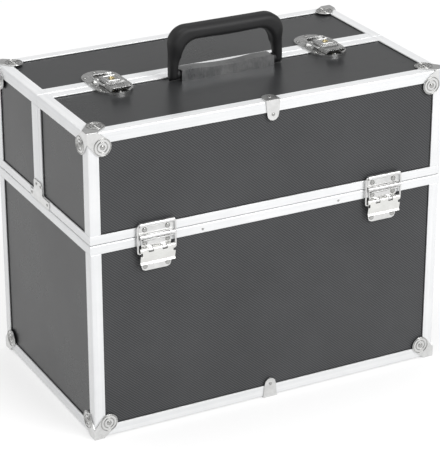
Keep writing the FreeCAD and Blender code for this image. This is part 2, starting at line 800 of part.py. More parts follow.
def lid_edge_rails(side):
    high = case_height
    corner = FreeCAD.Vector(-half_l, side * half_d, high)
    long_rail = angle_rail(corner, Y * -side, Z * -1, X * case_length)
    wedge = mitre(side, high - rail_leg, high)
    end_corner = FreeCAD.Vector(half_l, side * half_d, high)
    end_length = half_d + abs(meet_face[side]) * (1 if side * meet_face[side] < 0 else -1)
    end = angle_rail(end_corner, X * -1, Z * -1, Y * -side * end_length).cut(wedge)
    posts = corner_posts(side, lid_bottom + rim_band, high - rail_leg)
    save(lid_name[side] + "_lid_edge_rails", [long_rail.common(wedge)] + both_ends([end]) + posts)


def lid_rim_rail(side):
    corner = FreeCAD.Vector(-half_l, side * half_d, lid_bottom)
    long_rail = channel_rail(corner, Z, Y * -side, X * case_length, rim_band)
    wedge = mitre(side, lid_bottom, lid_bottom + rim_band)
    end_corner = FreeCAD.Vector(half_l, side * half_d, lid_bottom)
    end_length = half_d + abs(meet_face[side]) * (1 if side * meet_face[side] < 0 else -1)
    end = channel_rail(end_corner, Z, X * -1, Y * -side * end_length, rim_band).cut(wedge)
    save(lid_name[side] + "_lid_rim_rail", [long_rail.common(wedge)] + both_ends([end]))


def lid_centre_rails(side):
    """Channels over the lid half's free edges, on the top and on both ends."""
    meet = meet_face[side]
    top_half = half_l - rail_leg
    top = channel_rail(
        FreeCAD.Vector(-top_half, meet, case_height), Y * side, Z * -1, X * top_half * 2, top_band[side])
    low = lid_bottom + rim_band
    high = case_height - rail_leg
    end = channel_rail(
        FreeCAD.Vector(half_l, meet, low), Y * side, X * -1, Z * (high - low), end_band[side])
    save(lid_name[side] + "_lid_centre_rails", [top] + both_ends([end]))


def corner_plate(side):
    """L-shaped steel plate where the centre rail meets the rim rail."""
    meet = meet_face[side]
    foot_low = lid_bottom + plate_inset
    foot_high = lid_bottom + rim_band - plate_inset
    head = meet + side * (end_band[side] - plate_inset)
    foot = meet + side * plate_foot
    top = lid_bottom + plate_head
    r = plate_radius
    path = [
        (meet, foot_low), (foot - side * r, foot_low), (foot, foot_low + r), (foot, foot_high),
        (head + side * r, foot_high), (head, foot_high + r),
        (head, top - r), (head - side * r, top), (meet, top)]
    return profile(path, FreeCAD.Vector(half_l, 0, 0), Y, Z, X * plate_thickness)


# ---- trays, arms and stays: local plane is (in, up) from the front hinge axis ----
def link_point(x, inward=0.0, up=0.0):
    return FreeCAD.Vector(x, -axis_y + inward, seam_height + up)


def pin_place(pivot_in, reach):
    """Where a pin sits on a closed arm."""
    return on_circle((pivot_in, arm_pivot_up), reach, 90 - arm_lean)


def tray(bottom, height, pin_reach):
    """Tray with rounded corners, rolled lip, divided cells and two pins at each end."""
    half = tray_length / 2
    wall = tray_wall
    y0 = tray_from_axis
    y1 = tray_from_axis + tray_depth
    out = tray_lip_out
    base = link_point(0, 0, bottom)
    shell = profile(
        round_rect(-half + wall, half - wall, y0, y1, tray_corner), base, X, Y, Z * height)
    rim = profile(
        round_rect(-half, half, y0 - out, y1 + out, tray_corner + out), base + Z * (height - tray_lip),
        X, Y, Z * tray_lip)
    cuts = []
    inside = tray_length - 4 * wall
    cell = (inside - (tray_cells - 1) * wall) / tray_cells
    middle = (y0 + y1) / 2
    for i in range(tray_cells):
        a0 = -inside / 2 + i * (cell + wall)
        rows = [(y0 + wall, middle - wall / 2), (middle + wall / 2, y1 - wall)]
        if i in (0, tray_cells - 1):
            rows = [(y0 + wall, y1 - wall)]
        for b0, b1 in rows:
            cuts.append(profile(
                round_rect(a0, a0 + cell, b0, b1, cell_corner, 1), base + Z * tray_floor,
                X, Y, Z * height))
    body = fuse([shell, rim]).cut(cuts)
    pins = []
    for pivot in (arm_pivot_in, arm_pivot_in + arm_spacing):
        place = pin_place(pivot, pin_reach)
        start = link_point(half - wall, place[0], place[1])
        shank = arm_outer_face + face_gap - start.x
        pins.append(pin(start, X, arm_pin_radius, shank))
        pins.append(pin(start, X, tray_pin_shoulder, arm_inner_face - shoulder_gap - start.x))
        pins.append(pin(start + X * shank, X, tray_pin_head, tray_pin_head_length))
    return fuse([body] + both_ends(pins))


def tray_arm(pivot_in):
    """Flat arm with a bore at the bracket, the lower tray and the upper tray."""
    start = (pivot_in, arm_pivot_up)
    path = bar_path(start, 90 - arm_lean, 0, upper_pin_reach, arm_width)
    arm = profile(path, link_point(arm_inner_face), Y, Z, X * arm_thickness)
    bores = []
    for reach in (0, lower_pin_reach, upper_pin_reach):
        place = pin_place(pivot_in, reach)
        bores.append(bore(
            link_point(arm_inner_face - cut_margin, place[0], place[1]), X,
            arm_pin_radius + pin_clearance, arm_thickness + 2 * cut_margin))
    return arm.cut(bores)


def stay_stud():
    """Stud on the arm that runs in the stay's slot, with its retaining head."""
    place = pin_place(arm_pivot_in, stay_pin_reach)
    start = link_point(arm_outer_face - stud_sunk, place[0], place[1])
    neck = stay_outer_face + shoulder_gap - start.x
    return [pin(start, X, arm_pin_radius, neck), pin(start + X * neck, X, stud_head, stud_head_length)]


def tray_bracket():
    """Bracket on the box's end wall with the two arm studs."""
    outer = inner_x - inner_leg_thickness - bracket_rail_gap
    inner = outer - bracket_thickness
    a0 = arm_pivot_in - bracket_margin
    a1 = arm_pivot_in + arm_spacing + bracket_margin
    plate = profile(
        round_rect(a0, a1, -bracket_drop, arm_pivot_up + bracket_up, bracket_corner, 1),
        link_point(inner), Y, Z, X * bracket_thickness)
    pad = profile(
        round_rect(a0, a1, -bracket_drop, -rim_band, bracket_pad_corner, 1), link_point(inner), Y, Z,
        X * (inner_x - inner))
    studs = []
    for pivot in (arm_pivot_in, arm_pivot_in + arm_spacing):
        start = link_point(arm_inner_face - face_gap - bracket_head, pivot, arm_pivot_up)
        studs.append(pin(start, X, arm_pin_radius, inner + shoulder_gap - start.x))
        studs.append(pin(start, X, bracket_head_radius, bracket_head))
        shoulder = link_point(arm_outer_face + face_gap, pivot, arm_pivot_up)
        studs.append(pin(shoulder, X, bracket_head_radius, inner + shoulder_gap - shoulder.x))
    return fuse([plate, pad] + studs)


def stay():
    """Slotted stay that lets the lid half pull the arms along."""
    start = (stay_in, stay_up)
    path = bar_path(start, -stay_lean, 0, stay_far + stay_end, stay_width)
    slot = bar_path(start, -stay_lean, stay_near, stay_far, (arm_pin_radius + stay_slot_play) * 2)
    tool = link_point(stay_inner_face - cut_margin)
    through = X * (arm_thickness + 2 * cut_margin)
    bar = profile(path, link_point(stay_inner_face), Y, Z, X * arm_thickness)
    hole = bore(
        link_point(stay_inner_face - cut_margin, stay_in, stay_up), X, arm_pin_radius + pin_clearance,
        through.x)
    return bar.cut([profile(slot, tool, Y, Z, through), hole])


def stay_pivot():
    """Stud on the lid's end panel that the stay turns on."""
    start = link_point(stay_inner_face - face_gap, stay_in, stay_up)
    shoulder = link_point(stay_outer_face + face_gap, stay_in, stay_up)
    return fuse([
        pin(start - X * stud_head_length, X, stud_head, stud_head_length),
        pin(start, X, arm_pin_radius, inner_x - start.x),
        pin(shoulder, X, stay_pivot_shoulder, inner_x - shoulder.x)])


# ---- build and save every piece ----
lower_panels()
save("bottom_edge_rails", bottom_rails())
save("lower_rim_rail", lower_rim())
save("lower_corner_posts", [
    post for side in (-1, 1)
    for post in corner_posts(side, floor_z + rail_leg, rim_top - rim_band)])
save("bottom_corner_caps", both_ends([corner_cap(side, floor_z, -1) for side in (-1, 1)]))
save("bottom_edge_clip", [edge_clip(floor_z, -1)])
save("top_edge_clip", [edge_clip(case_height, 1)])

bases = [latch_base(x) for x in (-latch_x, latch_x)]
leaves = [hinge_leaf(x) for x in (-latch_x, latch_x)]
pins = [latch_pin(x) for x in (-latch_x, latch_x)]
save("latch_bases", bases + [mirror_y(base) for base in bases])
save("latch_pins", pins + [mirror_y(item) for item in pins])
save("front_hinge_leaves", leaves)
save("rear_hinge_leaves", [mirror_y(leaf) for leaf in leaves])
for place, x in (("left", -latch_x), ("right", latch_x)):
    save("front_latch_lever_" + place, [latch_lever(x)])
    save("rear_latch_lever_" + place, [mirror_y(latch_lever(x))])
    save("front_latch_bail_" + place, [latch_bail(x)])
    save("rear_latch_bail_" + place, [mirror_y(latch_bail(x))])

for side in (-1, 1):
    lid_panels(side)
    lid_edge_rails(side)
    lid_rim_rail(side)
    lid_centre_rails(side)
    steel = [corner_cap(side, case_height, 1), corner_plate(side)]
    save(lid_name[side] + "_lid_corner_steel", both_ends(steel))

save("top_latch_bases", [top_latch_base(x) for x in (-top_latch_x, top_latch_x)])
save("top_latch_catches", [top_latch_catch(x) for x in (-top_latch_x, top_latch_x)])
for place, x in (("left", -top_latch_x), ("right", top_latch_x)):
    save("top_latch_lever_" + place, [top_latch_lever(x)])
    save("lock_barrel_" + place, [lock_barrel(x)])
    save("top_latch_bail_" + place, [top_latch_bail(x)])

save("handle_base", [handle_base()])
save("handle_grip", [handle_body()])
studs = both_ends([stay_pivot()])
save("front_lid_pins", handle_pins() + studs)
save("rear_lid_pins", [mirror_y(stud) for stud in studs])

brackets = both_ends([tray_bracket()])
save("tray_pivot_brackets", brackets + [mirror_y(item) for item in brackets])
inside_pieces = (
    ("tray_arms_outer", both_ends([fuse([tray_arm(arm_pivot_in)] + stay_stud())])),
    ("tray_arms_inner", both_ends([tray_arm(arm_pivot_in + arm_spacing)])),
    ("lid_stays", both_ends([stay()])),
    ("lower_tray", [tray(lower_tray_bottom, lower_tray_height, lower_pin_reach)]),
    ("upper_tray", [tray(upper_tray_bottom, upper_tray_height, upper_pin_reach)]))
for name, shapes in inside_pieces:
    save("front_" + name, shapes)
    save("rear_" + name, [mirror_y(shape) for shape in shapes])
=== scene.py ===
import json
import math

import bmesh
import bpy
from mathutils import Matrix, Vector

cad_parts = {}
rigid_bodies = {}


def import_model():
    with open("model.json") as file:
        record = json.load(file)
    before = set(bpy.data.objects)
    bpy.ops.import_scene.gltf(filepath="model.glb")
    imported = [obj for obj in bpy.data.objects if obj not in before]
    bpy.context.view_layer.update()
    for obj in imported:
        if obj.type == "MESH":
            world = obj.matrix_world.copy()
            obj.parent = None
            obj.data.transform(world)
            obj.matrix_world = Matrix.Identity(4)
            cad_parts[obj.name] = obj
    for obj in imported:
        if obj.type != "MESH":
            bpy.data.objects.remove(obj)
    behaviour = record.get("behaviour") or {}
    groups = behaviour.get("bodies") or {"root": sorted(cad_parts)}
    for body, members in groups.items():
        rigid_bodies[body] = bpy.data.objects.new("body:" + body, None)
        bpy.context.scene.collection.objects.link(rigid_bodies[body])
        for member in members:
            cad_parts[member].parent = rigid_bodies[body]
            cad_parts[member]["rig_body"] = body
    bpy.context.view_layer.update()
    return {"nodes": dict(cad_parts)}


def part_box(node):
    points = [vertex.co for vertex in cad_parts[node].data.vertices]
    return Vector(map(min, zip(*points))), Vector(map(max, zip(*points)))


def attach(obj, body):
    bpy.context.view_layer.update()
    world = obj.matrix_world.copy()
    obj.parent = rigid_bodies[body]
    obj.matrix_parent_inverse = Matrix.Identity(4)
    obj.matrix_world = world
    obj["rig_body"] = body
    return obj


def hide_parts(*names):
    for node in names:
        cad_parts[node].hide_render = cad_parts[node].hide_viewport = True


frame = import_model()


# ---- Case walls ----
# Thin board faced with dark laminate, let into the aluminium rails all round. The long walls
# carry a fine diagonal emboss; the ends, the tops and the underside are smooth and satin.
def blank_material(name):
    """A material with its shader in place; gives back the material, its tree and the shader."""
    material = bpy.data.materials.new(name)
    material.use_nodes = True
    tree = material.node_tree
    tree.nodes.clear()
    shader = tree.nodes.new("ShaderNodeBsdfPrincipled")
    output = tree.nodes.new("ShaderNodeOutputMaterial")
    tree.links.new(shader.outputs["BSDF"], output.inputs["Surface"])
    return material, tree, shader


def feed(tree, socket, value):
    """Sets an input to a number, or links a socket to it."""
    if isinstance(value, bpy.types.NodeSocket):
        tree.links.new(value, socket)
    else:
        socket.default_value = value


def calc(tree, operation, *values):
    """One Math node; the values are numbers or sockets."""
    node = tree.nodes.new("ShaderNodeMath")
    node.operation = operation
    for socket, value in zip(node.inputs, values):
        feed(tree, socket, value)
    return node.outputs[0]


def shares(tree, one, one_share, two, two_share):
    """Two masks added in the given shares."""
    return calc(tree, "ADD", calc(tree, "MULTIPLY", one, one_share), calc(tree, "MULTIPLY", two, two_share))


def fade(tree, value, low, high, to_low, to_high):
    """Carries a value from one range to another, held at both ends."""
    node = tree.nodes.new("ShaderNodeMapRange")
    feed(tree, node.inputs["Value"], value)
    ends = {"From Min": low, "From Max": high, "To Min": to_low, "To Max": to_high}
    for name, number in ends.items():
        node.inputs[name].default_value = number
    return node.outputs["Result"]


def tint(tree, factor, dark, light):
    """A colour between two, by a factor."""
    node = tree.nodes.new("ShaderNodeMix")
    node.data_type = "RGBA"
    feed(tree, node.inputs[0], factor)
    node.inputs[6].default_value = (*dark, 1)
    node.inputs[7].default_value = (*light, 1)
    return node.outputs[2]


def dress(tree, shader, colour, rough, metal=0.0, shine=0.5):
    """Sets a shader's colour, roughness, metallic share and specular level."""
    feed(tree, shader.inputs["Base Color"], colour)
    feed(tree, shader.inputs["Roughness"], rough)
    feed(tree, shader.inputs["Metallic"], metal)
    feed(tree, shader.inputs["Specular IOR Level"], shine)


def relief(tree, shader, height, depth, strength):
    """Surface relief from a mask, depth in metres."""
    node = tree.nodes.new("ShaderNodeBump")
    node.inputs["Distance"].default_value = depth
    node.inputs["Strength"].default_value = strength
    feed(tree, node.inputs["Height"], height)
    tree.links.new(node.outputs["Normal"], shader.inputs["Normal"])


def place_of(tree):
    """The point on the object and its three parts, in metres."""
    point = tree.nodes.new("ShaderNodeTexCoord").outputs["Object"]
    split = tree.nodes.new("ShaderNodeSeparateXYZ")
    tree.links.new(point, split.inputs[0])
    return point, split.outputs[0], split.outputs[1], split.outputs[2]


def noise(tree, point, scale, detail=2.0, rough=0.5):
    """A cloudy mask; scale is cells to the metre."""
    node = tree.nodes.new("ShaderNodeTexNoise")
    node.inputs["Scale"].default_value = scale
    node.inputs["Detail"].default_value = detail
    node.inputs["Roughness"].default_value = rough
    feed(tree, node.inputs["Vector"], point)
    return node.outputs["Fac"]


def takes(group, name, kind="Float", usual=None):
    """Adds an input to a node group, with its usual value."""
    socket = group.interface.new_socket(name, in_out="INPUT", socket_type="NodeSocket" + kind)
    if usual is not None:
        socket.default_value = usual


def gives(group, name, kind="Float"):
    """Adds an output to a node group."""
    group.interface.new_socket(name, in_out="OUTPUT", socket_type="NodeSocket" + kind)


def make_handling_group():
    """Group: the clouding and the fine scuffs that a carried case picks up."""
    group = bpy.data.node_groups.new("handling marks", "ShaderNodeTree")
    takes(group, "Place", "Vector")
    takes(group, "Cloud scale", usual=14.0)
    takes(group, "Scuff scale", usual=90.0)
    gives(group, "Cloud")
    gives(group, "Scuff")
    add, link = group.nodes.new, group.links.new
    start = add("NodeGroupInput")
    end = add("NodeGroupOutput")
    cloud = add("ShaderNodeTexNoise")
    cloud.inputs["Detail"].default_value = 4.0
    cloud.inputs["Roughness"].default_value = 0.62
    link(start.outputs["Place"], cloud.inputs["Vector"])
    link(start.outputs["Cloud scale"], cloud.inputs["Scale"])
    stretch = add("ShaderNodeMapping")
    stretch.inputs["Rotation"].default_value = (0.5, 0.9, 0.3)
    stretch.inputs["Scale"].default_value = (1.0, 9.0, 9.0)
    link(start.outputs["Place"], stretch.inputs["Vector"])
    scuff = add("ShaderNodeTexNoise")
    scuff.inputs["Detail"].default_value = 3.0
    link(stretch.outputs["Vector"], scuff.inputs["Vector"])
    link(start.outputs["Scuff scale"], scuff.inputs["Scale"])
    link(fade(group, cloud.outputs["Fac"], 0.3, 0.7, 0.0, 1.0), end.inputs["Cloud"])
    link(fade(group, scuff.outputs["Fac"], 0.62, 0.74, 0.0, 1.0), end.inputs["Scuff"])
    return group


handling_marks = make_handling_group()


def worn(tree, point, cloud_scale, scuff_scale):
    """The handling marks in a material; gives back the cloud and scuff masks."""
    node = tree.nodes.new("ShaderNodeGroup")
    node.node_tree = handling_marks
    feed(tree, node.inputs["Place"], point)
    node.inputs["Cloud scale"].default_value = cloud_scale
    node.inputs["Scuff scale"].default_value = scuff_scale
    return node.outputs["Cloud"], node.outputs["Scuff"]


EMBOSS_PITCH = 0.0020  # width of a ridge
EMBOSS_RUN, EMBOSS_RISE = 0.66, 0.75  # how steeply the ridges fall


def make_embossed_laminate():
    """Dark laminate with fine ridges that fall to the right, each one notched along its length."""
    material, tree, shader = blank_material("embossed laminate")
    point, x, _, z = place_of(tree)
    turn = 2 * math.pi / EMBOSS_PITCH
    level_part = calc(tree, "MULTIPLY", x, EMBOSS_RUN)
    upright_part = calc(tree, "MULTIPLY", z, EMBOSS_RISE)
    falling = calc(tree, "MULTIPLY", calc(tree, "ADD", level_part, upright_part), turn)
    rising = calc(tree, "MULTIPLY", calc(tree, "SUBTRACT", level_part, upright_part), turn)
    ridge = fade(tree, calc(tree, "SINE", falling), -1.0, 1.0, 0.0, 1.0)
    notch = fade(tree, calc(tree, "SINE", rising), -1.0, 1.0, 0.7, 1.0)
    weave = calc(tree, "MULTIPLY", ridge, notch)
    cloud, scuff = worn(tree, point, 9.0, 70.0)
    colour = tint(tree, shares(tree, weave, 0.8, cloud, 0.2), (0.029, 0.030, 0.032), (0.101, 0.103, 0.107))
    rough = fade(tree, calc(tree, "ADD", weave, scuff), 0.0, 2.0, 0.58, 0.36)
    dress(tree, shader, colour, rough, shine=0.36)
    relief(tree, shader, weave, 0.00012, 0.7)
    return material


def make_smooth_laminate():
    """Dark satin laminate with faint pores."""
    material, tree, shader = blank_material("smooth laminate")
    point = place_of(tree)[0]
    cloud, scuff = worn(tree, point, 7.0, 55.0)
    pores = noise(tree, point, 1400.0, 2.0)
    colour = tint(tree, cloud, (0.023, 0.024, 0.025), (0.035, 0.036, 0.037))
    rough = shares(tree, fade(tree, cloud, 0.0, 1.0, 0.24, 0.36), 1.0, scuff, 0.08)
    dress(tree, shader, colour, rough, shine=0.43)
    relief(tree, shader, shares(tree, pores, 1.0, cloud, 2.0), 0.00006, 0.5)
    return material


embossed_laminate = make_embossed_laminate()
smooth_laminate = make_smooth_laminate()


def coat(node, material, lining=None):
    """Gives a wall that stays as it is its own finish, with a lining on its inner faces."""
    mesh = frame["nodes"][node].data
    mesh.materials.clear()
    mesh.materials.append(material)
    if lining:
        mesh.materials.append(lining)
        for face in mesh.polygons:
            face.material_index = 1 if face.normal.y * face.center.y < 0 else 0


for node in ("lower_long_panels", "front_lid_panel", "rear_lid_panel"):
    coat(node, embossed_laminate, smooth_laminate)
for node in ("lower_end_panels", "bottom_panel", "front_lid_top_panel", "front_lid_end_panels",
             "rear_lid_top_panel", "rear_lid_end_panels"):
    coat(node, smooth_laminate)


# ---- Beads of painted shade ----
# A thin round black bead lies in the corner between every wall and its rails, on all
# four sides of each visible panel. It is painted shade: its black stands for the dark shadow line that each
# rail's lip casts on the wall.
BEAD_RADIUS, BEAD_LIFT = 0.0004, 0.0002  # lift: how far its middle stands off a wall
LONG_WALL, END_WALL, TOP_WALL = 0.1065, 0.1835, 0.3035  # outer faces of the walls
POST_X, POST_Y = 0.174, 0.097  # the walls show between the posts
BOX_SPAN, LID_SPAN = (0.0122, 0.18835), (0.20665, 0.294)  # and between the level rails
END_EDGE = {"front_lid": -0.00265, "rear_lid": 0.01815}  # centre rail's edge on the ends
TOP_EDGE = {"front_lid": -0.00715, "rear_lid": 0.01615}  # centre rail's edge on the top


def as_object(name, data, *materials):
    """A mesh, curve, lamp or camera as an object in the scene, with its materials."""
    for material in materials:
        data.materials.append(material)
    obj = bpy.data.objects.new(name, data)
    bpy.context.scene.collection.objects.link(obj)
    return obj


def settled(obj):
    """Leaves an object a plain mesh, as its modifiers shape it."""
    graph = bpy.context.evaluated_depsgraph_get()
    mesh = bpy.data.meshes.new_from_object(obj.evaluated_get(graph))
    obj.modifiers.clear()
    obj.data = mesh
    return obj


def grown(obj, tree):
    """Runs a Geometry Nodes tree on an object."""
    obj.modifiers.new(tree.name, "NODES").node_group = tree
    return settled(obj)


def make_shade_line_black():
    """Dull near-black, for the beads of painted shade along the rails."""
    material, tree, shader = blank_material("black rubber")
    point = place_of(tree)[0]
    cloud, scuff = worn(tree, point, 60.0, 300.0)
    # near-black colour: painted shade along the edges of the rails
    colour = tint(tree, cloud, (0.006, 0.006, 0.006), (0.014, 0.014, 0.014))
    dress(tree, shader, colour, fade(tree, scuff, 0.0, 1.0, 0.6, 0.45), shine=0.3)
    relief(tree, shader, noise(tree, point, 2500.0), 0.00003, 0.5)
    return material


def make_shade_line_tree(shade_line_black):
    """Geometry Nodes: a round bead laid along loops of edges."""
    tree = bpy.data.node_groups.new("painted shade line bead", "GeometryNodeTree")
    takes(tree, "Geometry", "Geometry")
    takes(tree, "Bead radius", usual=BEAD_RADIUS)
    takes(tree, "Bead sides", "Int", 8)
    gives(tree, "Geometry", "Geometry")
    add, link = tree.nodes.new, tree.links.new
    start = add("NodeGroupInput")
    end = add("NodeGroupOutput")
    line = add("GeometryNodeMeshToCurve")
    ring = add("GeometryNodeCurvePrimitiveCircle")
    sweep = add("GeometryNodeCurveToMesh")
    real = add("GeometryNodeRealizeInstances")
    finish = add("GeometryNodeSetMaterial")
    # the bead's black is painted shade
    finish.inputs["Material"].default_value = shade_line_black
    link(start.outputs["Geometry"], line.inputs["Mesh"])
    link(start.outputs["Bead radius"], ring.inputs["Radius"])
    link(start.outputs["Bead sides"], ring.inputs["Resolution"])
    link(line.outputs["Curve"], sweep.inputs["Curve"])
    link(ring.outputs["Curve"], sweep.inputs["Profile Curve"])
    link(sweep.outputs["Mesh"], real.inputs["Geometry"])
    link(real.outputs["Geometry"], finish.inputs["Geometry"])
    link(finish.outputs["Geometry"], end.inputs["Geometry"])
    return tree


def bead_loop(axis, face, side, low, high):
    """The four corners of a bead round a panel: axis it faces, its face, and the opening's corners."""
    across, up = [i for i in range(3) if i != axis]
    corners = []
    for a, b in ((0, 0), (1, 0), (1, 1), (0, 1)):
        point = [0.0, 0.0, 0.0]
        point[axis] = face + side * BEAD_LIFT
        point[across] = (high[0] - BEAD_RADIUS) if a else (low[0] + BEAD_RADIUS)
        point[up] = (high[1] - BEAD_RADIUS) if b else (low[1] + BEAD_RADIUS)
        corners.append(point)
    return corners


def long_wall_loop(side, span):
    """The bead of a long wall; side -1 is the front."""
    return bead_loop(1, side * LONG_WALL, side, (-POST_X, span[0]), (POST_X, span[1]))


def end_wall_loops(front, back, span):
    """The beads of both end walls."""
    return [bead_loop(0, side * END_WALL, side, (front, span[0]), (back, span[1])) for side in (-1, 1)]


def top_wall_loop(front, back):
    """The bead of a top."""
    return bead_loop(2, TOP_WALL, 1, (-POST_X, front), (POST_X, back))


shade_line_black = make_shade_line_black()
shade_line_tree = make_shade_line_tree(shade_line_black)
openings = {
    "lower_box": [long_wall_loop(-1, BOX_SPAN), long_wall_loop(1, BOX_SPAN),
                  *end_wall_loops(-POST_Y, POST_Y, BOX_SPAN)],
    "front_lid": [long_wall_loop(-1, LID_SPAN), *end_wall_loops(-POST_Y, END_EDGE["front_lid"], LID_SPAN),
                  top_wall_loop(-POST_Y, TOP_EDGE["front_lid"])],
    "rear_lid": [long_wall_loop(1, LID_SPAN), *end_wall_loops(END_EDGE["rear_lid"], POST_Y, LID_SPAN),
                 top_wall_loop(TOP_EDGE["rear_lid"], POST_Y)],
}
for body, loops in openings.items():
    points = [point for loop in loops for point in loop]
    edges = [(4 * n + i, 4 * n + (i + 1) % 4) for n in range(len(loops)) for i in range(4)]
    mesh = bpy.data.meshes.new(body + "_beads")
    mesh.from_pydata(points, edges, [])
    beads = grown(as_object(body + "_shade_line_beads", mesh), shade_line_tree)
    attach(beads, body)


# ---- Aluminium rails and posts ----
# Extruded angle, satin anodised, riveted along every edge of the box and of both lid halves.
# The drawing die leaves fine straight lines along each length; the corners are softly broken.
RAIL_X, RAIL_Y = 0.185, 0.108  # outer faces of the rails
TOP_RAIL_START = 0.2939  # an edge rail above this height runs level
CREASE = math.radians(32)  # an edge that turns by more than this is a real corner


def make_drawn_group():
    """Group: straight lines that a drawing die or a belt leaves along a length."""
    group = bpy.data.node_groups.new("drawn lines", "ShaderNodeTree")
    takes(group, "Across")
    takes(group, "Along")
    takes(group, "Line scale", usual=1500.0)
    takes(group, "Line length", usual=0.01)
    gives(group, "Lines")
    gives(group, "Bands")
    add, link = group.nodes.new, group.links.new
    start = add("NodeGroupInput")
    end = add("NodeGroupOutput")
    lie = add("ShaderNodeCombineXYZ")
    link(start.outputs["Across"], lie.inputs[0])
    drawn = calc(group, "MULTIPLY", start.outputs["Along"], start.outputs["Line length"])
    link(drawn, lie.inputs[1])
    fine = add("ShaderNodeTexNoise")
    fine.inputs["Detail"].default_value = 3.0
    link(lie.outputs[0], fine.inputs["Vector"])
    link(start.outputs["Line scale"], fine.inputs["Scale"])
    wide = add("ShaderNodeTexNoise")
    wide.inputs["Detail"].default_value = 1.0
    link(lie.outputs[0], wide.inputs["Vector"])
    link(calc(group, "MULTIPLY", start.outputs["Line scale"], 0.16), wide.inputs["Scale"])
    link(fine.outputs["Fac"], end.inputs["Lines"])
    link(wide.outputs["Fac"], end.inputs["Bands"])
    return group


drawn_lines = make_drawn_group()


def lined(tree, across, along, scale, length):
    """The drawn lines in a material; gives back the fine lines and the wide bands."""
    node = tree.nodes.new("ShaderNodeGroup")
    node.node_tree = drawn_lines
    feed(tree, node.inputs["Across"], across)
    feed(tree, node.inputs["Along"], along)
    node.inputs["Line scale"].default_value = scale
    node.inputs["Line length"].default_value = length
    return node.outputs["Lines"], node.outputs["Bands"]


def make_anodised(name, run):
    """Satin anodised aluminium; run says which way the length lies."""
    material, tree, shader = blank_material(name)
    point, x, y, z = place_of(tree)
    in_x = calc(tree, "SUBTRACT", RAIL_X, calc(tree, "ABSOLUTE", x))
    in_y = calc(tree, "SUBTRACT", RAIL_Y, calc(tree, "ABSOLUTE", y))
    if run == "level":
        across = calc(tree, "ADD", z, calc(tree, "MINIMUM", in_x, in_y))
        along = calc(tree, "ADD", x, y)
    elif run == "upright":
        across, along = calc(tree, "ADD", in_x, in_y), z
    else:
        across, along = y, calc(tree, "ADD", x, z)
    lines, bands = lined(tree, across, along, 1600.0, 0.008)
    cloud, scuff = worn(tree, point, 22.0, 160.0)
    level = shares(tree, lines, 0.35, shares(tree, bands, 0.45, cloud, 0.2), 1.0)
    grey = fade(tree, level, 0.3, 0.7, 0.0, 1.0)
    rough = shares(tree, fade(tree, lines, 0.3, 0.7, 0.30, 0.42), 1.0, scuff, 0.1)
    dress(tree, shader, tint(tree, grey, (0.84, 0.85, 0.86), (0.97, 0.975, 0.98)), rough, 0.4)
    relief(tree, shader, shares(tree, lines, 1.0, bands, 3.0), 0.00005, 0.4)
    return material


level_rail = make_anodised("anodised rail, level", "level")
upright_rail = make_anodised("anodised rail, upright", "upright")
meeting_rail = make_anodised("anodised rail, meeting edge", "meeting")


def smoothed(mesh, crease):
    """Shades a mesh smooth, but for the edges that turn by more than crease."""
    for face in mesh.polygons:
        face.use_smooth = True
    mesh.set_sharp_from_angle(angle=crease)


def finished(node, material, edge, steps, split=None, upper=None):
    """Stands for a CAD node: facets merged, hidden mitre faces taken out and corners broken by
    edge in so many steps. Faces above split take upper."""
    source = frame["nodes"][node]
    form = bmesh.new()
    form.from_mesh(source.data)
    bmesh.ops.remove_doubles(form, verts=form.verts, dist=1e-6)
    bmesh.ops.dissolve_limit(form, angle_limit=math.radians(1), verts=form.verts, edges=form.edges)
    mitres = []
    for face in form.faces:
        if sum(len(edge.link_faces) > 2 for edge in face.edges) > len(face.edges) / 2:
            mitres.append(face)
    bmesh.ops.delete(form, geom=mitres, context="FACES")
    mesh = bpy.data.meshes.new(node + "_finished")
    form.to_mesh(mesh)
    form.free()
    obj = as_object(node + "_finished", mesh, material)
    if upper:
        mesh.materials.append(upper)
    for face in mesh.polygons:
        face.material_index = 1 if upper and face.center.z > split else 0
    smoothed(mesh, CREASE)
    bevel = obj.modifiers.new("broken edges", "BEVEL")
    bevel.width = edge
    bevel.segments = steps
    bevel.limit_method = "ANGLE"
    bevel.angle_limit = CREASE
    even = obj.modifiers.new("flat faces stay flat", "WEIGHTED_NORMAL")
    even.mode = "FACE_AREA"
    even.weight = 90
    even.keep_sharp = True
    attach(obj, source["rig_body"])
    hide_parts(node)
    return obj


finished("lower_corner_posts", upright_rail, 0.0004, 3)
for node in ("bottom_edge_rails", "lower_rim_rail", "front_lid_rim_rail", "rear_lid_rim_rail"):
    finished(node, level_rail, 0.00022, 3)
for node in ("front_lid_edge_rails", "rear_lid_edge_rails"):
    finished(node, upright_rail, 0.0004, 3, TOP_RAIL_START, level_rail)
for node in ("front_lid_centre_rails", "rear_lid_centre_rails"):
    finished(node, meeting_rail, 0.0003, 3)


# ---- Corner caps, lid corner plates and edge clips ----
# Pressed from thin steel and nickel plated: a three-lobed cap on each corner of the box, a
# notched plate over each lid half's lower corner, and a small folded clip at mid length.
def make_nickel(name, dark, light, rough_low, rough_high, scale=240.0):
    """Bright nickel plate: faint polishing lines, clouding and fine scuffs."""
    material, tree, shader = blank_material(name)
    point, x, y, z = place_of(tree)
    cloud, scuff = worn(tree, point, scale * 0.5, scale * 2.2)
    lines = lined(tree, shares(tree, z, 1.0, y, 0.5), x, 2200.0, 0.05)[0]
    level = shares(tree, cloud, 0.6, lines, 0.4)
    rough = shares(tree, fade(tree, level, 0.2, 0.8, rough_low, rough_high), 1.0, scuff, 0.12)
    dress(tree, shader, tint(tree, level, dark, light), rough, 1.0)
    relief(tree, shader, shares(tree, lines, 1.0, cloud, 3.0), 0.00006, 0.45)
    return material


nickel = make_nickel("nickel plate", (0.56, 0.56, 0.555), (0.80, 0.80, 0.795), 0.26, 0.38)
for node in ("bottom_corner_caps", "front_lid_corner_steel", "rear_lid_corner_steel",
             "bottom_edge_clip", "top_edge_clip"):
    finished(node, nickel, 0.00035, 3)
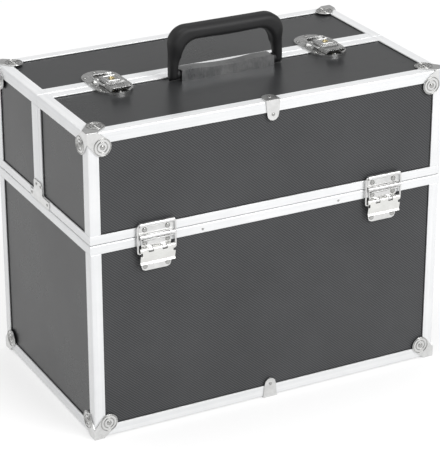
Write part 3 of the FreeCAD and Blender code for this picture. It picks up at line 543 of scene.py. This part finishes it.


# ---- Rivets and pressed rings ----
# Domed steel rivets hold the caps, plates, latches and brackets. A round bead is pressed into
# the steel round each rivet of the corner caps. The heads are coloured darker than the plate as painted
# shade for their domes.
def make_rivet_tree(shaded_head_metal):
    """Geometry Nodes: a domed head on every point, turned to its 'out', sized by its 'size';
    points whose 'ringed' is 1 also get a pressed ring."""
    tree = bpy.data.node_groups.new("domed rivets", "GeometryNodeTree")
    takes(tree, "Geometry", "Geometry")
    takes(tree, "Head radius", usual=0.0024)
    takes(tree, "Rim height", usual=0.0004)
    takes(tree, "Crown height", usual=0.0008)
    takes(tree, "Inner ring radius", usual=0.0050)
    takes(tree, "Outer ring radius", usual=0.0080)
    takes(tree, "Ring wire", usual=0.00055)
    gives(tree, "Geometry", "Geometry")
    add, link = tree.nodes.new, tree.links.new
    start = add("NodeGroupInput")
    end = add("NodeGroupOutput")

    def value(operation, *values):
        return calc(tree, operation, *values)

    def stored(name, kind):
        node = add("GeometryNodeInputNamedAttribute")
        node.data_type = kind
        node.inputs["Name"].default_value = name
        return next(socket for socket in node.outputs if socket.enabled and socket.name == "Attribute")

    drum = add("GeometryNodeMeshCylinder")
    drum.inputs["Vertices"].default_value = 20
    drum.inputs["Fill Segments"].default_value = 5
    link(start.outputs["Head radius"], drum.inputs["Radius"])
    link(value("MULTIPLY", start.outputs["Rim height"], 2.0), drum.inputs["Depth"])
    where = add("GeometryNodeInputPosition")
    part = add("ShaderNodeSeparateXYZ")
    link(where.outputs[0], part.inputs[0])
    squares = value("ADD", value("POWER", part.outputs[0], 2.0), value("POWER", part.outputs[1], 2.0))
    share = value("DIVIDE", value("SQRT", squares), start.outputs["Head radius"])
    fall = value("SUBTRACT", 1.0, value("POWER", share, 2.0))
    crown = value("MULTIPLY", fall, start.outputs["Crown height"])
    lift = value("MULTIPLY", crown, value("GREATER_THAN", part.outputs[2], 0.0))
    push = add("ShaderNodeCombineXYZ")
    link(lift, push.inputs[2])
    dome = add("GeometryNodeSetPosition")
    link(drum.outputs["Mesh"], dome.inputs["Geometry"])
    link(push.outputs[0], dome.inputs["Offset"])

    wire = add("GeometryNodeCurvePrimitiveCircle")
    wire.inputs["Resolution"].default_value = 10
    link(start.outputs["Ring wire"], wire.inputs["Radius"])

    def pressed_ring(radius):
        hoop = add("GeometryNodeCurvePrimitiveCircle")
        hoop.inputs["Resolution"].default_value = 40
        link(start.outputs[radius], hoop.inputs["Radius"])
        bead = add("GeometryNodeCurveToMesh")
        link(hoop.outputs["Curve"], bead.inputs["Curve"])
        link(wire.outputs["Curve"], bead.inputs["Profile Curve"])
        return bead.outputs["Mesh"]

    turn = add("FunctionNodeAlignRotationToVector")
    turn.axis = "Z"
    link(stored("out", "FLOAT_VECTOR"), turn.inputs["Vector"])
    join = add("GeometryNodeJoinGeometry")
    ringed = stored("ringed", "FLOAT")
    inner, outer = pressed_ring("Inner ring radius"), pressed_ring("Outer ring radius")
    for form, chosen in ((dome.outputs["Geometry"], None), (inner, ringed), (outer, ringed)):
        stamp = add("GeometryNodeInstanceOnPoints")
        link(start.outputs["Geometry"], stamp.inputs["Points"])
        link(form, stamp.inputs["Instance"])
        link(turn.outputs["Rotation"], stamp.inputs["Rotation"])
        link(stored("size", "FLOAT"), stamp.inputs["Scale"])
        if chosen:
            link(value("GREATER_THAN", chosen, 0.5), stamp.inputs["Selection"])
        link(stamp.outputs["Instances"], join.inputs["Geometry"])
    real = add("GeometryNodeRealizeInstances")
    shade = add("GeometryNodeSetShadeSmooth")
    finish = add("GeometryNodeSetMaterial")
    # the heads' darker nickel is painted shade
    finish.inputs["Material"].default_value = shaded_head_metal
    link(join.outputs["Geometry"], real.inputs["Geometry"])
    link(real.outputs["Geometry"], shade.inputs["Geometry"])
    link(shade.outputs["Geometry"], finish.inputs["Geometry"])
    link(finish.outputs["Geometry"], end.inputs["Geometry"])
    return tree


# a darker copy of the nickel: painted shade, for the grey that the rivets' domes take on
shaded_rivet_nickel = make_nickel("rivet nickel, painted shade", (0.32, 0.32, 0.31), (0.52, 0.52, 0.51), 0.20, 0.30, 500.0)
rivet_tree = make_rivet_tree(shaded_rivet_nickel)
rivets = {"lower_box": [], "front_lid": [], "rear_lid": []}
STEEL_X, STEEL_Y, STEEL_TOP = 0.1862, 0.1092, 0.3062  # outer faces of caps and latches
CAP_X, CAP_Y, CAP_LOW, CAP_HIGH = 0.171, 0.094, 0.0152, 0.2910  # middles of the cap lobes
LATCH_X, DRAW_X = 0.12, 0.114  # middles of the two kinds of latch
LEAF_Z, CRADLE_Z, LATCH_STEP = 0.2038, (0.1909, 0.1675), 0.0115
PLATE_X, PLATE_LOW, PLATE_HIGH = 0.186, 0.20215, 0.21465  # the steel on a lid half's corner


def rivet(body, x, y, z, out, size=1.0, ringed=0.0):
    """Notes the place of one head; out is the way it faces."""
    rivets[body].append(((x, y, z), out, size, ringed))


def cap_rivets(sx, sy, lid):
    """One in each lobe of the caps on a corner."""
    for body, z in (("lower_box", CAP_LOW), (lid, CAP_HIGH)):
        rivet(body, sx * CAP_X, sy * STEEL_Y, z, (0, sy, 0), 1.0, 1.0)
        rivet(body, sx * STEEL_X, sy * CAP_Y, z, (sx, 0, 0), 1.0, 1.0)
    rivet(lid, sx * CAP_X, sy * CAP_Y, STEEL_TOP, (0, 0, 1), 1.0, 1.0)


def latch_rivets(sx, sy, lid):
    """Two through the leaf of a hinge-latch and four through its cradle."""
    for step in (-LATCH_STEP, LATCH_STEP):
        rivet(lid, sx * LATCH_X + step, sy * STEEL_Y, LEAF_Z, (0, sy, 0))
        for z in CRADLE_Z:
            rivet("lower_box", sx * LATCH_X + step, sy * STEEL_Y, z, (0, sy, 0))


for sx in (-1, 1):
    for sy, lid in ((-1, "front_lid"), (1, "rear_lid")):
        cap_rivets(sx, sy, lid)
        rivet("lower_box", sx * 0.072, sy * RAIL_Y, 0.19195, (0, sy, 0), 0.5)  # in the rim rail
        latch_rivets(sx, sy, lid)
        for inward in (0.015, 0.037):  # tray brackets
            rivet("lower_box", sx * 0.1759, sy * (0.111 - inward), 0.17438, (-sx, 0, 0))
    for lid, middle, ears in (("front_lid", -0.0235, -0.013), ("rear_lid", 0.0325, 0.022)):
        rivet(lid, sx * DRAW_X, middle, STEEL_TOP, (0, 0, 1), 0.85)  # draw latches
        for step in (-0.0146, 0.0146):
            rivet(lid, sx * DRAW_X + step, ears, STEEL_TOP, (0, 0, 1), 0.85)
    for lid, meet, side, head in (("front_lid", 0.00435, -1, 0.006), ("rear_lid", 0.00465, 1, 0.013)):
        rivet(lid, sx * PLATE_X, meet + side * 0.01804, PLATE_LOW, (sx, 0, 0), 0.65)
        rivet(lid, sx * PLATE_X, meet + side * head / 2, PLATE_HIGH, (sx, 0, 0), 0.65)
rivet("lower_box", 0, -STEEL_Y, 0.0142, (0, -1, 0), 0.7)  # edge clips
rivet("front_lid", 0, -STEEL_Y, 0.292, (0, -1, 0), 0.7)
rivet("front_lid", 0, -0.1015, STEEL_TOP, (0, 0, 1), 0.7)

for body, places in rivets.items():
    mesh = bpy.data.meshes.new(body + "_rivet_places")
    mesh.from_pydata([place[0] for place in places], [], [])
    for name, kind in (("out", "FLOAT_VECTOR"), ("size", "FLOAT"), ("ringed", "FLOAT")):
        mesh.attributes.new(name, kind, "POINT")
    for i, place in enumerate(places):
        mesh.attributes["out"].data[i].vector = place[1]
        mesh.attributes["size"].data[i].value = place[2]
        mesh.attributes["ringed"].data[i].value = place[3]
    heads = grown(as_object(body + "_rivets", mesh), rivet_tree)
    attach(heads, body)


# ---- Hinge-latches ----
# Two on the front and two on the back. A rolled leaf on the lid sits in a cradle on the base,
# a wire bail hooks over it, and a thin sheet-steel lever pulls the bail down.
LATCH_WIRE, LATCH_BEND = 0.001, 0.0018  # radii of the wire and of its corners
BAIL_Y = 0.1104  # plane of the hanging bail
BAIL_LOW, BAIL_TOP = 0.1815, 0.2093
BAIL_HALF, BAIL_ENDS = 0.019, 0.0157  # half widths of the bail and between its ends


def eased(points, bend, steps=5):
    """The line of a bent wire, each corner carried round an arc."""
    line = [points[0]]
    for before, corner, after in zip(points, points[1:], points[2:]):
        back, onward = (before - corner).normalized(), (after - corner).normalized()
        half = back.angle(onward) / 2
        reach = bend / math.tan(half)
        start, stop = corner + back * reach, corner + onward * reach
        centre = corner + (back + onward).normalized() * (bend / math.sin(half))
        for i in range(steps + 1):
            line.append(centre + (start - centre).lerp(stop - centre, i / steps).normalized() * bend)
    line.append(points[-1])
    return line


def as_mesh(form, name):
    """Turns a worked form into a mesh, its faces all outward."""
    bmesh.ops.recalc_face_normals(form, faces=form.faces)
    mesh = bpy.data.meshes.new(name)
    form.to_mesh(mesh)
    form.free()
    return mesh


def wire_form(name, points, radius, bend, material):
    """A round wire bent along the points, with closed ends."""
    curve = bpy.data.curves.new(name + "_line", "CURVE")
    curve.dimensions = "3D"
    curve.bevel_depth = radius
    curve.bevel_resolution = 4
    curve.use_fill_caps = True
    line = eased([Vector(point) for point in points], bend)
    spline = curve.splines.new("POLY")
    spline.points.add(len(line) - 1)
    for point, place in zip(spline.points, line):
        point.co = (*place, 1)
    helper = as_object(name + "_line", curve)
    graph = bpy.context.evaluated_depsgraph_get()
    form = bmesh.new()
    form.from_mesh(bpy.data.meshes.new_from_object(helper.evaluated_get(graph)))
    bpy.data.objects.remove(helper)
    bmesh.ops.remove_doubles(form, verts=form.verts, dist=1e-6)
    mesh = as_mesh(form, name)
    smoothed(mesh, math.radians(50))
    return as_object(name, mesh, material)


def bail_line(x, half, ends, foot, bar):
    """The line of a bail's wire; foot and bar are the (y, z) of its ends and of its cross bar."""
    return [(x - ends, *foot), (x - half, *foot), (x - half, *bar),
            (x + half, *bar), (x + half, *foot), (x + ends, *foot)]


lever_metal = make_nickel("satin nickel lever", (0.66, 0.66, 0.64), (0.82, 0.82, 0.80), 0.34, 0.46, 160.0)
for node in ("latch_bases", "latch_pins", "front_hinge_leaves", "rear_hinge_leaves"):
    finished(node, nickel, 0.00025, 3)
for side, sy in (("front", -1), ("rear", 1)):
    for hand, x in (("left", -LATCH_X), ("right", LATCH_X)):
        finished(f"{side}_latch_lever_{hand}", lever_metal, 0.00025, 3)
        body = f"{side}_latch_bail_{hand}"
        line = bail_line(x, BAIL_HALF, BAIL_ENDS, (sy * BAIL_Y, BAIL_LOW), (sy * BAIL_Y, BAIL_TOP))
        bail = wire_form(body + "_wire", line, LATCH_WIRE, LATCH_BEND, nickel)
        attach(bail, body)
        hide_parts(body)


# ---- Tray linkage ----
# Zinc-plated steel: brackets riveted inside the box, two arms to each pair of trays and a
# slotted stay from each lid half, all on plain pins.
zinc = make_nickel("zinc plate", (0.42, 0.43, 0.44), (0.62, 0.62, 0.62), 0.34, 0.5, 120.0)
for node in ("tray_pivot_brackets", "front_tray_arms_outer", "front_tray_arms_inner", "rear_tray_arms_outer",
             "rear_tray_arms_inner", "front_lid_stays", "rear_lid_stays", "front_lid_pins", "rear_lid_pins"):
    finished(node, zinc, 0.00025, 2)


# ---- Trays ----
# Four shallow pans moulded in black plastic with fixed partitions: two behind the front lid
# half and two behind the rear one, hung on the arms so that they swing out with the lids.
def make_moulded(name, dark, light, rough_low, rough_high, grain):
    """Moulded plastic with a fine grained skin; grain is its scale."""
    material, tree, shader = blank_material(name)
    point = place_of(tree)[0]
    cloud, scuff = worn(tree, point, 12.0, 130.0)
    skin = noise(tree, point, grain, 3.0, 0.6)
    colour = tint(tree, shares(tree, skin, 0.6, cloud, 0.4), dark, light)
    rough = shares(tree, fade(tree, skin, 0.3, 0.7, rough_low, rough_high), 1.0, scuff, -0.08)
    dress(tree, shader, colour, rough, shine=0.42)
    relief(tree, shader, skin, 0.00008, 0.5)
    return material


tray_plastic = make_moulded("tray plastic", (0.018, 0.018, 0.020), (0.036, 0.036, 0.039), 0.34, 0.46, 900.0)
for node in ("front_lower_tray", "front_upper_tray", "rear_lower_tray", "rear_upper_tray"):
    finished(node, tray_plastic, 0.0004, 2)


# ---- Felt pad ----
# A loose pad of black needle felt, cut to the floor of the box and stitched through in a grid,
# so that it swells a little between the stitch lines and thins at its edges.
def make_felt():
    """Black needle felt, dull and fibrous."""
    material, tree, shader = blank_material("black felt")
    point = place_of(tree)[0]
    fibre = noise(tree, point, 1800.0, 4.0, 0.7)
    cloud, scuff = worn(tree, point, 30.0, 400.0)
    colour = tint(tree, shares(tree, fibre, 0.7, cloud, 0.3), (0.010, 0.010, 0.011), (0.040, 0.040, 0.043))
    dress(tree, shader, colour, fade(tree, fibre, 0.3, 0.7, 0.85, 1.0), shine=0.2)
    shader.inputs["Sheen Weight"].default_value = 0.3
    shader.inputs["Sheen Roughness"].default_value = 0.5
    relief(tree, shader, calc(tree, "ADD", fibre, scuff), 0.0003, 0.8)
    return material


PAD_CLEARANCE = 0.0004
PAD_EDGE = 0.007  # width of the thinned edge
PAD_PULL = (0.0022, 0.0018)  # how far the stitching draws the ends and the sides in
PAD_STITCHES = (6, 4)  # fields between stitch lines, along and across
PAD_GRID = (96, 64)  # faces along and across


def pad_height(u, v, half_x, half_y):
    """Share of the pad's full thickness at a point, 0 to 1 along and across."""
    edge = min(min(u, 1 - u) * 2 * half_x, min(v, 1 - v) * 2 * half_y)
    fall = min(1.0, edge / PAD_EDGE)
    swell = math.sqrt(max(0.0, 1 - (1 - fall) ** 2))
    along, across = [abs(math.sin(math.pi * t * n)) ** 0.35 for t, n in zip((u, v), PAD_STITCHES)]
    return 0.30 + 0.70 * swell * (0.62 + 0.38 * along * across)


def pad_form(low, high):
    """A closed pad: flat underneath, crowned between its stitch lines, edges pulled in."""
    form = bmesh.new()
    across, deep = PAD_GRID
    half_x, half_y = (high.x - low.x) / 2, (high.y - low.y) / 2
    thick = high.z - low.z
    sheets = []
    for top in (False, True):
        sheet = []
        for j in range(deep + 1):
            row = []
            for i in range(across + 1):
                u, v = i / across, j / deep
                x = (2 * u - 1) * (half_x - PAD_CLEARANCE - PAD_PULL[0] * math.sin(math.pi * v) ** 2)
                y = (2 * v - 1) * (half_y - PAD_CLEARANCE - PAD_PULL[1] * math.sin(math.pi * u) ** 2)
                rise = thick * pad_height(u, v, half_x, half_y) if top else 0.0
                row.append(form.verts.new((x, y, low.z + rise)))
            sheet.append(row)
        sheets.append(sheet)
    under, over = sheets
    for j in range(deep):
        for i in range(across):
            form.faces.new((under[j][i], under[j + 1][i], under[j + 1][i + 1], under[j][i + 1]))
            form.faces.new((over[j][i], over[j][i + 1], over[j + 1][i + 1], over[j + 1][i]))
    rim = [(0, i) for i in range(across)] + [(j, across) for j in range(deep)]
    rim += [(deep, i) for i in range(across, 0, -1)] + [(j, 0) for j in range(deep, 0, -1)]
    for (a, b), (c, d) in zip(rim, rim[1:] + rim[:1]):
        form.faces.new((under[a][b], under[c][d], over[c][d], over[a][b]))
    return as_mesh(form, "felt_pad")


felt = make_felt()
pad_low, pad_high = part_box("compartment_pad")
pad = as_object("felt_pad", pad_form(pad_low, pad_high), felt)
for face in pad.data.polygons:
    face.use_smooth = True
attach(pad, "lower_box")
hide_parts("compartment_pad")


# ---- Draw latches and key locks ----
# Two on the top: a plated base on the front half, a catch on the rear half, a wire bail and a
# raised lever with a brass key barrel in its window.
DRAW_WIRE, DRAW_BEND = 0.0009, 0.0016  # radii of the bail's wire and of its corners
DRAW_HALF, DRAW_ENDS = 0.0109, 0.0079
DRAW_FOOT, DRAW_BAR = (-0.0112, 0.3092), (0.0168, 0.3092)  # (y, z) of the bail's ends and bar
FRAME_WIRE, FRAME_BEND = 0.0006, 0.0014  # the same for the frame raised round the key
FRAME_HALF, FRAME_TOP = 0.0066, 0.313
FRAME_FRONT, FRAME_BACK = -0.0122, 0.0012
BARREL_RADIUS, BARREL_SIDES = 0.00305, 32
KEY_SLOT = (0.0007, 0.0034, 0.003)  # width, length and twice the depth
# a darker copy of the nickel for these upward faces: painted shade, for the darker ceiling they reflect
top_shaded_chrome = make_nickel("draw latch plate, painted shade", (0.47, 0.47, 0.465), (0.68, 0.68, 0.675), 0.20, 0.30, 300.0)
for node in ("top_latch_bases", "top_latch_catches"):
    finished(node, top_shaded_chrome, 0.0003, 3)


def make_brass():
    """Worn yellow brass."""
    material, tree, shader = blank_material("key brass")
    cloud, scuff = worn(tree, place_of(tree)[0], 700.0, 1500.0)
    colour = tint(tree, cloud, (0.60, 0.49, 0.25), (0.80, 0.70, 0.42))
    dress(tree, shader, colour, fade(tree, scuff, 0.0, 1.0, 0.2, 0.4), 1.0)
    relief(tree, shader, cloud, 0.00004, 0.5)
    return material


def turned_ring(form, middle, radius, sides, axis):
    """Corners evenly round a middle, in the plane square to an axis."""
    corners = []
    for i in range(sides):
        place = list(middle)
        place[(axis + 1) % 3] += radius * math.cos(2 * math.pi * i / sides)
        place[(axis + 2) % 3] += radius * math.sin(2 * math.pi * i / sides)
        corners.append(form.verts.new(place))
    return corners


def skin_over(form, rings):
    """Faces from each ring to the next; a ring of one corner is a tip."""
    for one, two in zip(rings, rings[1:]):
        sides = max(len(one), len(two))
        for i in range(sides):
            k = (i + 1) % sides
            face = [one[0]] if len(one) == 1 else [one[i], one[k]]
            face += [two[0]] if len(two) == 1 else [two[k], two[i]]
            form.faces.new(face)


def barrel_form(x, y, low, high):
    """A turned barrel with a chamfered rim and a dished face."""
    profile = [(BARREL_RADIUS, low), (BARREL_RADIUS, high - 0.0005), (BARREL_RADIUS - 0.0004, high - 0.0001),
               (BARREL_RADIUS - 0.0007, high - 0.0001), (BARREL_RADIUS - 0.0009, high - 0.0004)]
    form = bmesh.new()
    rings = [turned_ring(form, (x, y, z), radius, BARREL_SIDES, 2) for radius, z in profile]
    rings.insert(0, [form.verts.new((x, y, low))])
    rings.append([form.verts.new((x, y, high - 0.0004))])
    skin_over(form, rings)
    return as_mesh(form, "barrel")


def sink_key_slot(barrel, x, y, high):
    """Cuts the key slot into a barrel's face."""
    form = bmesh.new()
    place = Matrix.Translation((x, y, high)) @ Matrix.Diagonal((*KEY_SLOT, 1))
    bmesh.ops.create_cube(form, size=1.0, matrix=place)
    cutter = as_object("key_slot_cutter", as_mesh(form, "key_slot_cutter"))
    sink = barrel.modifiers.new("key slot", "BOOLEAN")
    sink.object = cutter
    sink.operation = "DIFFERENCE"
    sink.solver = "EXACT"
    smoothed(settled(barrel).data, math.radians(35))
    bpy.data.objects.remove(cutter)


brass = make_brass()
for hand, x in (("left", -DRAW_X), ("right", DRAW_X)):
    # the lever takes the same darker nickel: painted shade
    finished("top_latch_lever_" + hand, top_shaded_chrome, 0.0003, 3)
    body = "top_latch_bail_" + hand
    line = bail_line(x, DRAW_HALF, DRAW_ENDS, DRAW_FOOT, DRAW_BAR)
    bail = wire_form(body + "_wire", line, DRAW_WIRE, DRAW_BEND, nickel)
    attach(bail, body)
    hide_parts(body)
    line = bail_line(x, FRAME_HALF, 0.0, (FRAME_BACK, FRAME_TOP), (FRAME_FRONT, FRAME_TOP))
    frame_wire = wire_form("lever_frame_" + hand, line, FRAME_WIRE, FRAME_BEND, nickel)
    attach(frame_wire, "top_latch_lever_" + hand)
    low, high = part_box("lock_barrel_" + hand)
    y = (low.y + high.y) / 2
    barrel = as_object("key_barrel_" + hand, barrel_form(x, y, low.z, high.z), brass)
    sink_key_slot(barrel, x, y, high.z)
    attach(barrel, "top_latch_lever_" + hand)
    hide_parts("lock_barrel_" + hand)


# ---- Handle and its channel ----
# A deep arch moulded in black plastic, swinging on pins through the closed ends of a folded
# steel channel that is riveted through the front lid half.
HANDLE_HALF, HANDLE_TOP, HANDLE_Y = 0.0595, 0.356, -0.015  # half width, top and plane of the arch
LEG_LOW, LEG_HIGH, GRIP = 0.008, 0.0115, 0.0135  # thickness at the foot, the corner and the grip
OUTER_BEND, INNER_BEND = 0.018, 0.016  # radii of the arch's corners
PIVOT_Z, FOOT = 0.3095, 0.0054  # axis of the pins and radius of the foot
LEG_DEPTH, GRIP_DEPTH, NECK = 0.0058, 0.009, 0.012  # half depths, and height of the plain neck
EDGE_ROUND, EDGE_STEPS = 0.0058, 6  # rounding of the moulding's edges
GRIP_SWELL = 0.0007  # the grip's belly at mid length
BOSS = ((0.0494, 0.0044), (0.0497, 0.0048), (0.0525, 0.0048))  # distance out and radius
BOSS_SIDES = 24


def make_channel_steel():
    """Grey steel, drawn along its length."""
    material, tree, shader = blank_material("channel steel")
    point, x, y, z = place_of(tree)
    lines = lined(tree, x, calc(tree, "ADD", z, y), 1500.0, 0.06)[0]
    cloud = worn(tree, point, 60.0, 420.0)[0]
    level = shares(tree, lines, 0.55, cloud, 0.45)
    colour = tint(tree, fade(tree, level, 0.25, 0.75, 0.0, 1.0), (0.17, 0.175, 0.18), (0.36, 0.36, 0.36))
    dress(tree, shader, colour, fade(tree, level, 0.2, 0.8, 0.26, 0.4), 1.0)
    relief(tree, shader, lines, 0.00005, 0.5)
    return material


def section_ring(form, centre, out, half_thick, half_deep):
    """One rounded-oblong ring of the handle: out is its thickness direction, y its depth."""
    corner = min(EDGE_ROUND, 0.85 * half_thick, 0.9 * half_deep)
    ring = []
    for quarter, (sign_out, sign_deep) in enumerate(((1, 1), (-1, 1), (-1, -1), (1, -1))):
        for i in range(EDGE_STEPS + 1):
            angle = math.radians(90 * quarter + 90 / EDGE_STEPS * i)
            a = sign_out * (half_thick - corner) + corner * math.cos(angle)
            b = sign_deep * (half_deep - corner) + corner * math.sin(angle)
            ring.append(form.verts.new(centre + out * a + Vector((0, b, 0))))
    return ring


def half_depth(z):
    """Half the depth of the handle at a height: a round foot, a plain neck, then a swell to the grip."""
    if z < PIVOT_Z:
        return math.sqrt(max(FOOT ** 2 - (PIVOT_Z - z) ** 2, 0.0))
    neck_top = PIVOT_Z + NECK
    if z < neck_top:
        return FOOT + (LEG_DEPTH - FOOT) * (z - PIVOT_Z) / NECK
    t = min(1.0, (z - neck_top) / (HANDLE_TOP - GRIP - 0.002 - neck_top))
    return LEG_DEPTH + (GRIP_DEPTH - LEG_DEPTH) * (3 * t * t - 2 * t ** 3)


def half_arch():
    """Pairs of outer and inner points (x, z), up the left leg and along to the middle."""
    leg_top, under = HANDLE_TOP - OUTER_BEND, HANDLE_TOP - GRIP
    inner_top, inside = under - INNER_BEND, HANDLE_HALF - LEG_HIGH
    pairs = []
    for i in range(1, 8):  # the round foot
        z = PIVOT_Z - FOOT * math.cos(math.radians(90 * i / 7))
        pairs.append(((-HANDLE_HALF, z), (LEG_LOW - HANDLE_HALF, z)))
    for i in range(1, 9):  # the leg
        t = i / 8
        thick = LEG_LOW + (LEG_HIGH - LEG_LOW) * t * t
        pairs.append(((-HANDLE_HALF, PIVOT_Z + t * (leg_top - PIVOT_Z)),
                      (thick - HANDLE_HALF, PIVOT_Z + t * (inner_top - PIVOT_Z))))
    for i in range(1, 13):  # the corner
        angle = math.radians(180 - 7.5 * i)
        across, up = 1 + math.cos(angle), math.sin(angle)
        pairs.append(((OUTER_BEND * across - HANDLE_HALF, leg_top + OUTER_BEND * up),
                      (INNER_BEND * across - inside, inner_top + INNER_BEND * up)))
    for i in range(1, 9):  # the grip
        t = i / 8
        swell = GRIP_SWELL * math.sin(math.pi * t / 2) ** 2
        pairs.append((((1 - t) * (OUTER_BEND - HANDLE_HALF), HANDLE_TOP),
                      ((1 - t) * (INNER_BEND - inside), under - swell)))
    return pairs


def handle_form():
    """The arch as a loft through its sections, with a boss inside each foot."""
    left = half_arch()
    right = [((-outer[0], outer[1]), (-inner[0], inner[1])) for outer, inner in reversed(left[:-1])]
    form = bmesh.new()
    rings = []
    for outer, inner in left + right:
        outside, within = Vector((outer[0], HANDLE_Y, outer[1])), Vector((inner[0], HANDLE_Y, inner[1]))
        centre, thick = (outside + within) / 2, outside - within
        rings.append(section_ring(form, centre, thick.normalized(), thick.length / 2, half_depth(centre.z)))
    skin_over(form, rings)
    form.faces.new(list(reversed(rings[0])))
    form.faces.new(rings[-1])
    for side in (-1, 1):
        boss = []
        for x, radius in BOSS:
            boss.append(turned_ring(form, (side * x, HANDLE_Y, PIVOT_Z), radius, BOSS_SIDES, 0))
        skin_over(form, boss)
        form.faces.new(boss[0])
        form.faces.new(list(reversed(boss[-1])))
    return as_mesh(form, "carrying_handle")


channel_steel = make_channel_steel()
finished("handle_base", channel_steel, 0.0006, 3)
handle_plastic = make_moulded("handle plastic", (0.008, 0.008, 0.0085), (0.017, 0.017, 0.018),
                              0.50, 0.62, 1300.0)
handle = as_object("carrying_handle", handle_form(), handle_plastic)
smoothed(handle.data, math.radians(50))
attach(handle, "handle")
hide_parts("handle_grip")


# ---- Floor, light and camera ----
# A plain white sweep of card under the case, two large soft lamps and an even sky. The camera
# stands in front and to the left, above the lids.
FLOOR_REACH = 6.0
SENSOR_WIDTH = 36.0
FOCAL_SHARE = 2086.0 / 456  # focal length in long sides of the frame
TURN, DIP = -27.49, 24.0  # degrees the camera is turned and looks down


def make_card():
    """White card: grey to the lamps, with a glow of its own to the camera and in reflections."""
    material = bpy.data.materials.new("white card")
    material.use_nodes = True
    tree = material.node_tree
    tree.nodes.clear()
    add, link = tree.nodes.new, tree.links.new
    output = add("ShaderNodeOutputMaterial")
    body = add("ShaderNodeBsdfDiffuse")
    glow = add("ShaderNodeEmission")
    both = add("ShaderNodeAddShader")
    rays = add("ShaderNodeLightPath")
    fleck = noise(tree, place_of(tree)[0], 260.0, 3.0)
    link(tint(tree, fleck, (0.44, 0.44, 0.44), (0.46, 0.46, 0.46)), body.inputs["Color"])
    indirect = calc(tree, "MAXIMUM", rays.outputs["Is Glossy Ray"], rays.outputs["Is Transmission Ray"])
    seen = calc(tree, "MAXIMUM", rays.outputs["Is Camera Ray"], indirect)
    link(calc(tree, "MULTIPLY", seen, 0.56), glow.inputs["Strength"])
    link(body.outputs[0], both.inputs[0])
    link(glow.outputs[0], both.inputs[1])
    link(both.outputs[0], output.inputs["Surface"])
    return material


floor_mesh = bpy.data.meshes.new("floor")
floor_corners = [(FLOOR_REACH * sx, FLOOR_REACH * sy, 0) for sx, sy in ((-1, -1), (1, -1), (1, 1), (-1, 1))]
floor_mesh.from_pydata(floor_corners, [], [(0, 1, 2, 3)])
floor = as_object("floor", floor_mesh, make_card())

world = bpy.data.worlds.new("soft sky")
bpy.context.scene.world = world
world.use_nodes = True
sky = world.node_tree
sky.nodes.clear()
add, link = sky.nodes.new, sky.links.new
# Seen straight it is white. Reflected it dims upwards, and it lights the case softly.
sky_out = add("ShaderNodeOutputWorld")
backdrop = add("ShaderNodeBackground")
rays = add("ShaderNodeLightPath")
heading = add("ShaderNodeTexCoord").outputs["Generated"]
parts = add("ShaderNodeSeparateXYZ")
link(heading, parts.inputs[0])
ceiling = calc(sky, "MINIMUM", fade(sky, parts.outputs[2], 0.10, 0.42, 1.0, 0.42),
               fade(sky, parts.outputs[2], 0.50, 0.85, 1.0, 0.08))
mirrored = calc(sky, "MULTIPLY", rays.outputs["Is Glossy Ray"], ceiling)
indirect = calc(sky, "MAXIMUM", mirrored, rays.outputs["Is Transmission Ray"])
seen = calc(sky, "MAXIMUM", rays.outputs["Is Camera Ray"], indirect)
plain = calc(sky, "MULTIPLY", rays.outputs["Is Diffuse Ray"], 0.66)
link(calc(sky, "MAXIMUM", seen, plain), backdrop.inputs["Strength"])
link(backdrop.outputs[0], sky_out.inputs["Surface"])


def lamp(name, place, aim, size, watts):
    """A square soft lamp turned towards a point."""
    light = bpy.data.lights.new(name, "AREA")
    light.shape = "SQUARE"
    light.size = size
    light.energy = watts
    obj = as_object(name, light)
    obj.location = place
    obj.rotation_euler = (Vector(aim) - Vector(place)).to_track_quat("-Z", "Y").to_euler()


lamp("key_lamp", (1.0, -2.4, 2.2), (0, 0, 0.15), 1.8, 68)
lamp("top_lamp", (-0.4, 0.3, 2.8), (0, 0, 0.2), 2.0, 34)

camera_data = bpy.data.cameras.new("camera")
camera_data.lens = FOCAL_SHARE * SENSOR_WIDTH
camera_data.sensor_width = SENSOR_WIDTH
camera = as_object("camera", camera_data)
camera.location = (-0.8642, -1.6647, 0.9706)
turn, dip = math.radians(TURN), math.radians(DIP)
ahead = Vector((-math.sin(turn) * math.cos(dip), math.cos(turn) * math.cos(dip), -math.sin(dip)))
camera.rotation_euler = ahead.to_track_quat("-Z", "Y").to_euler()
bpy.context.scene.camera = camera
bpy.context.scene.view_settings.view_transform = "Standard"
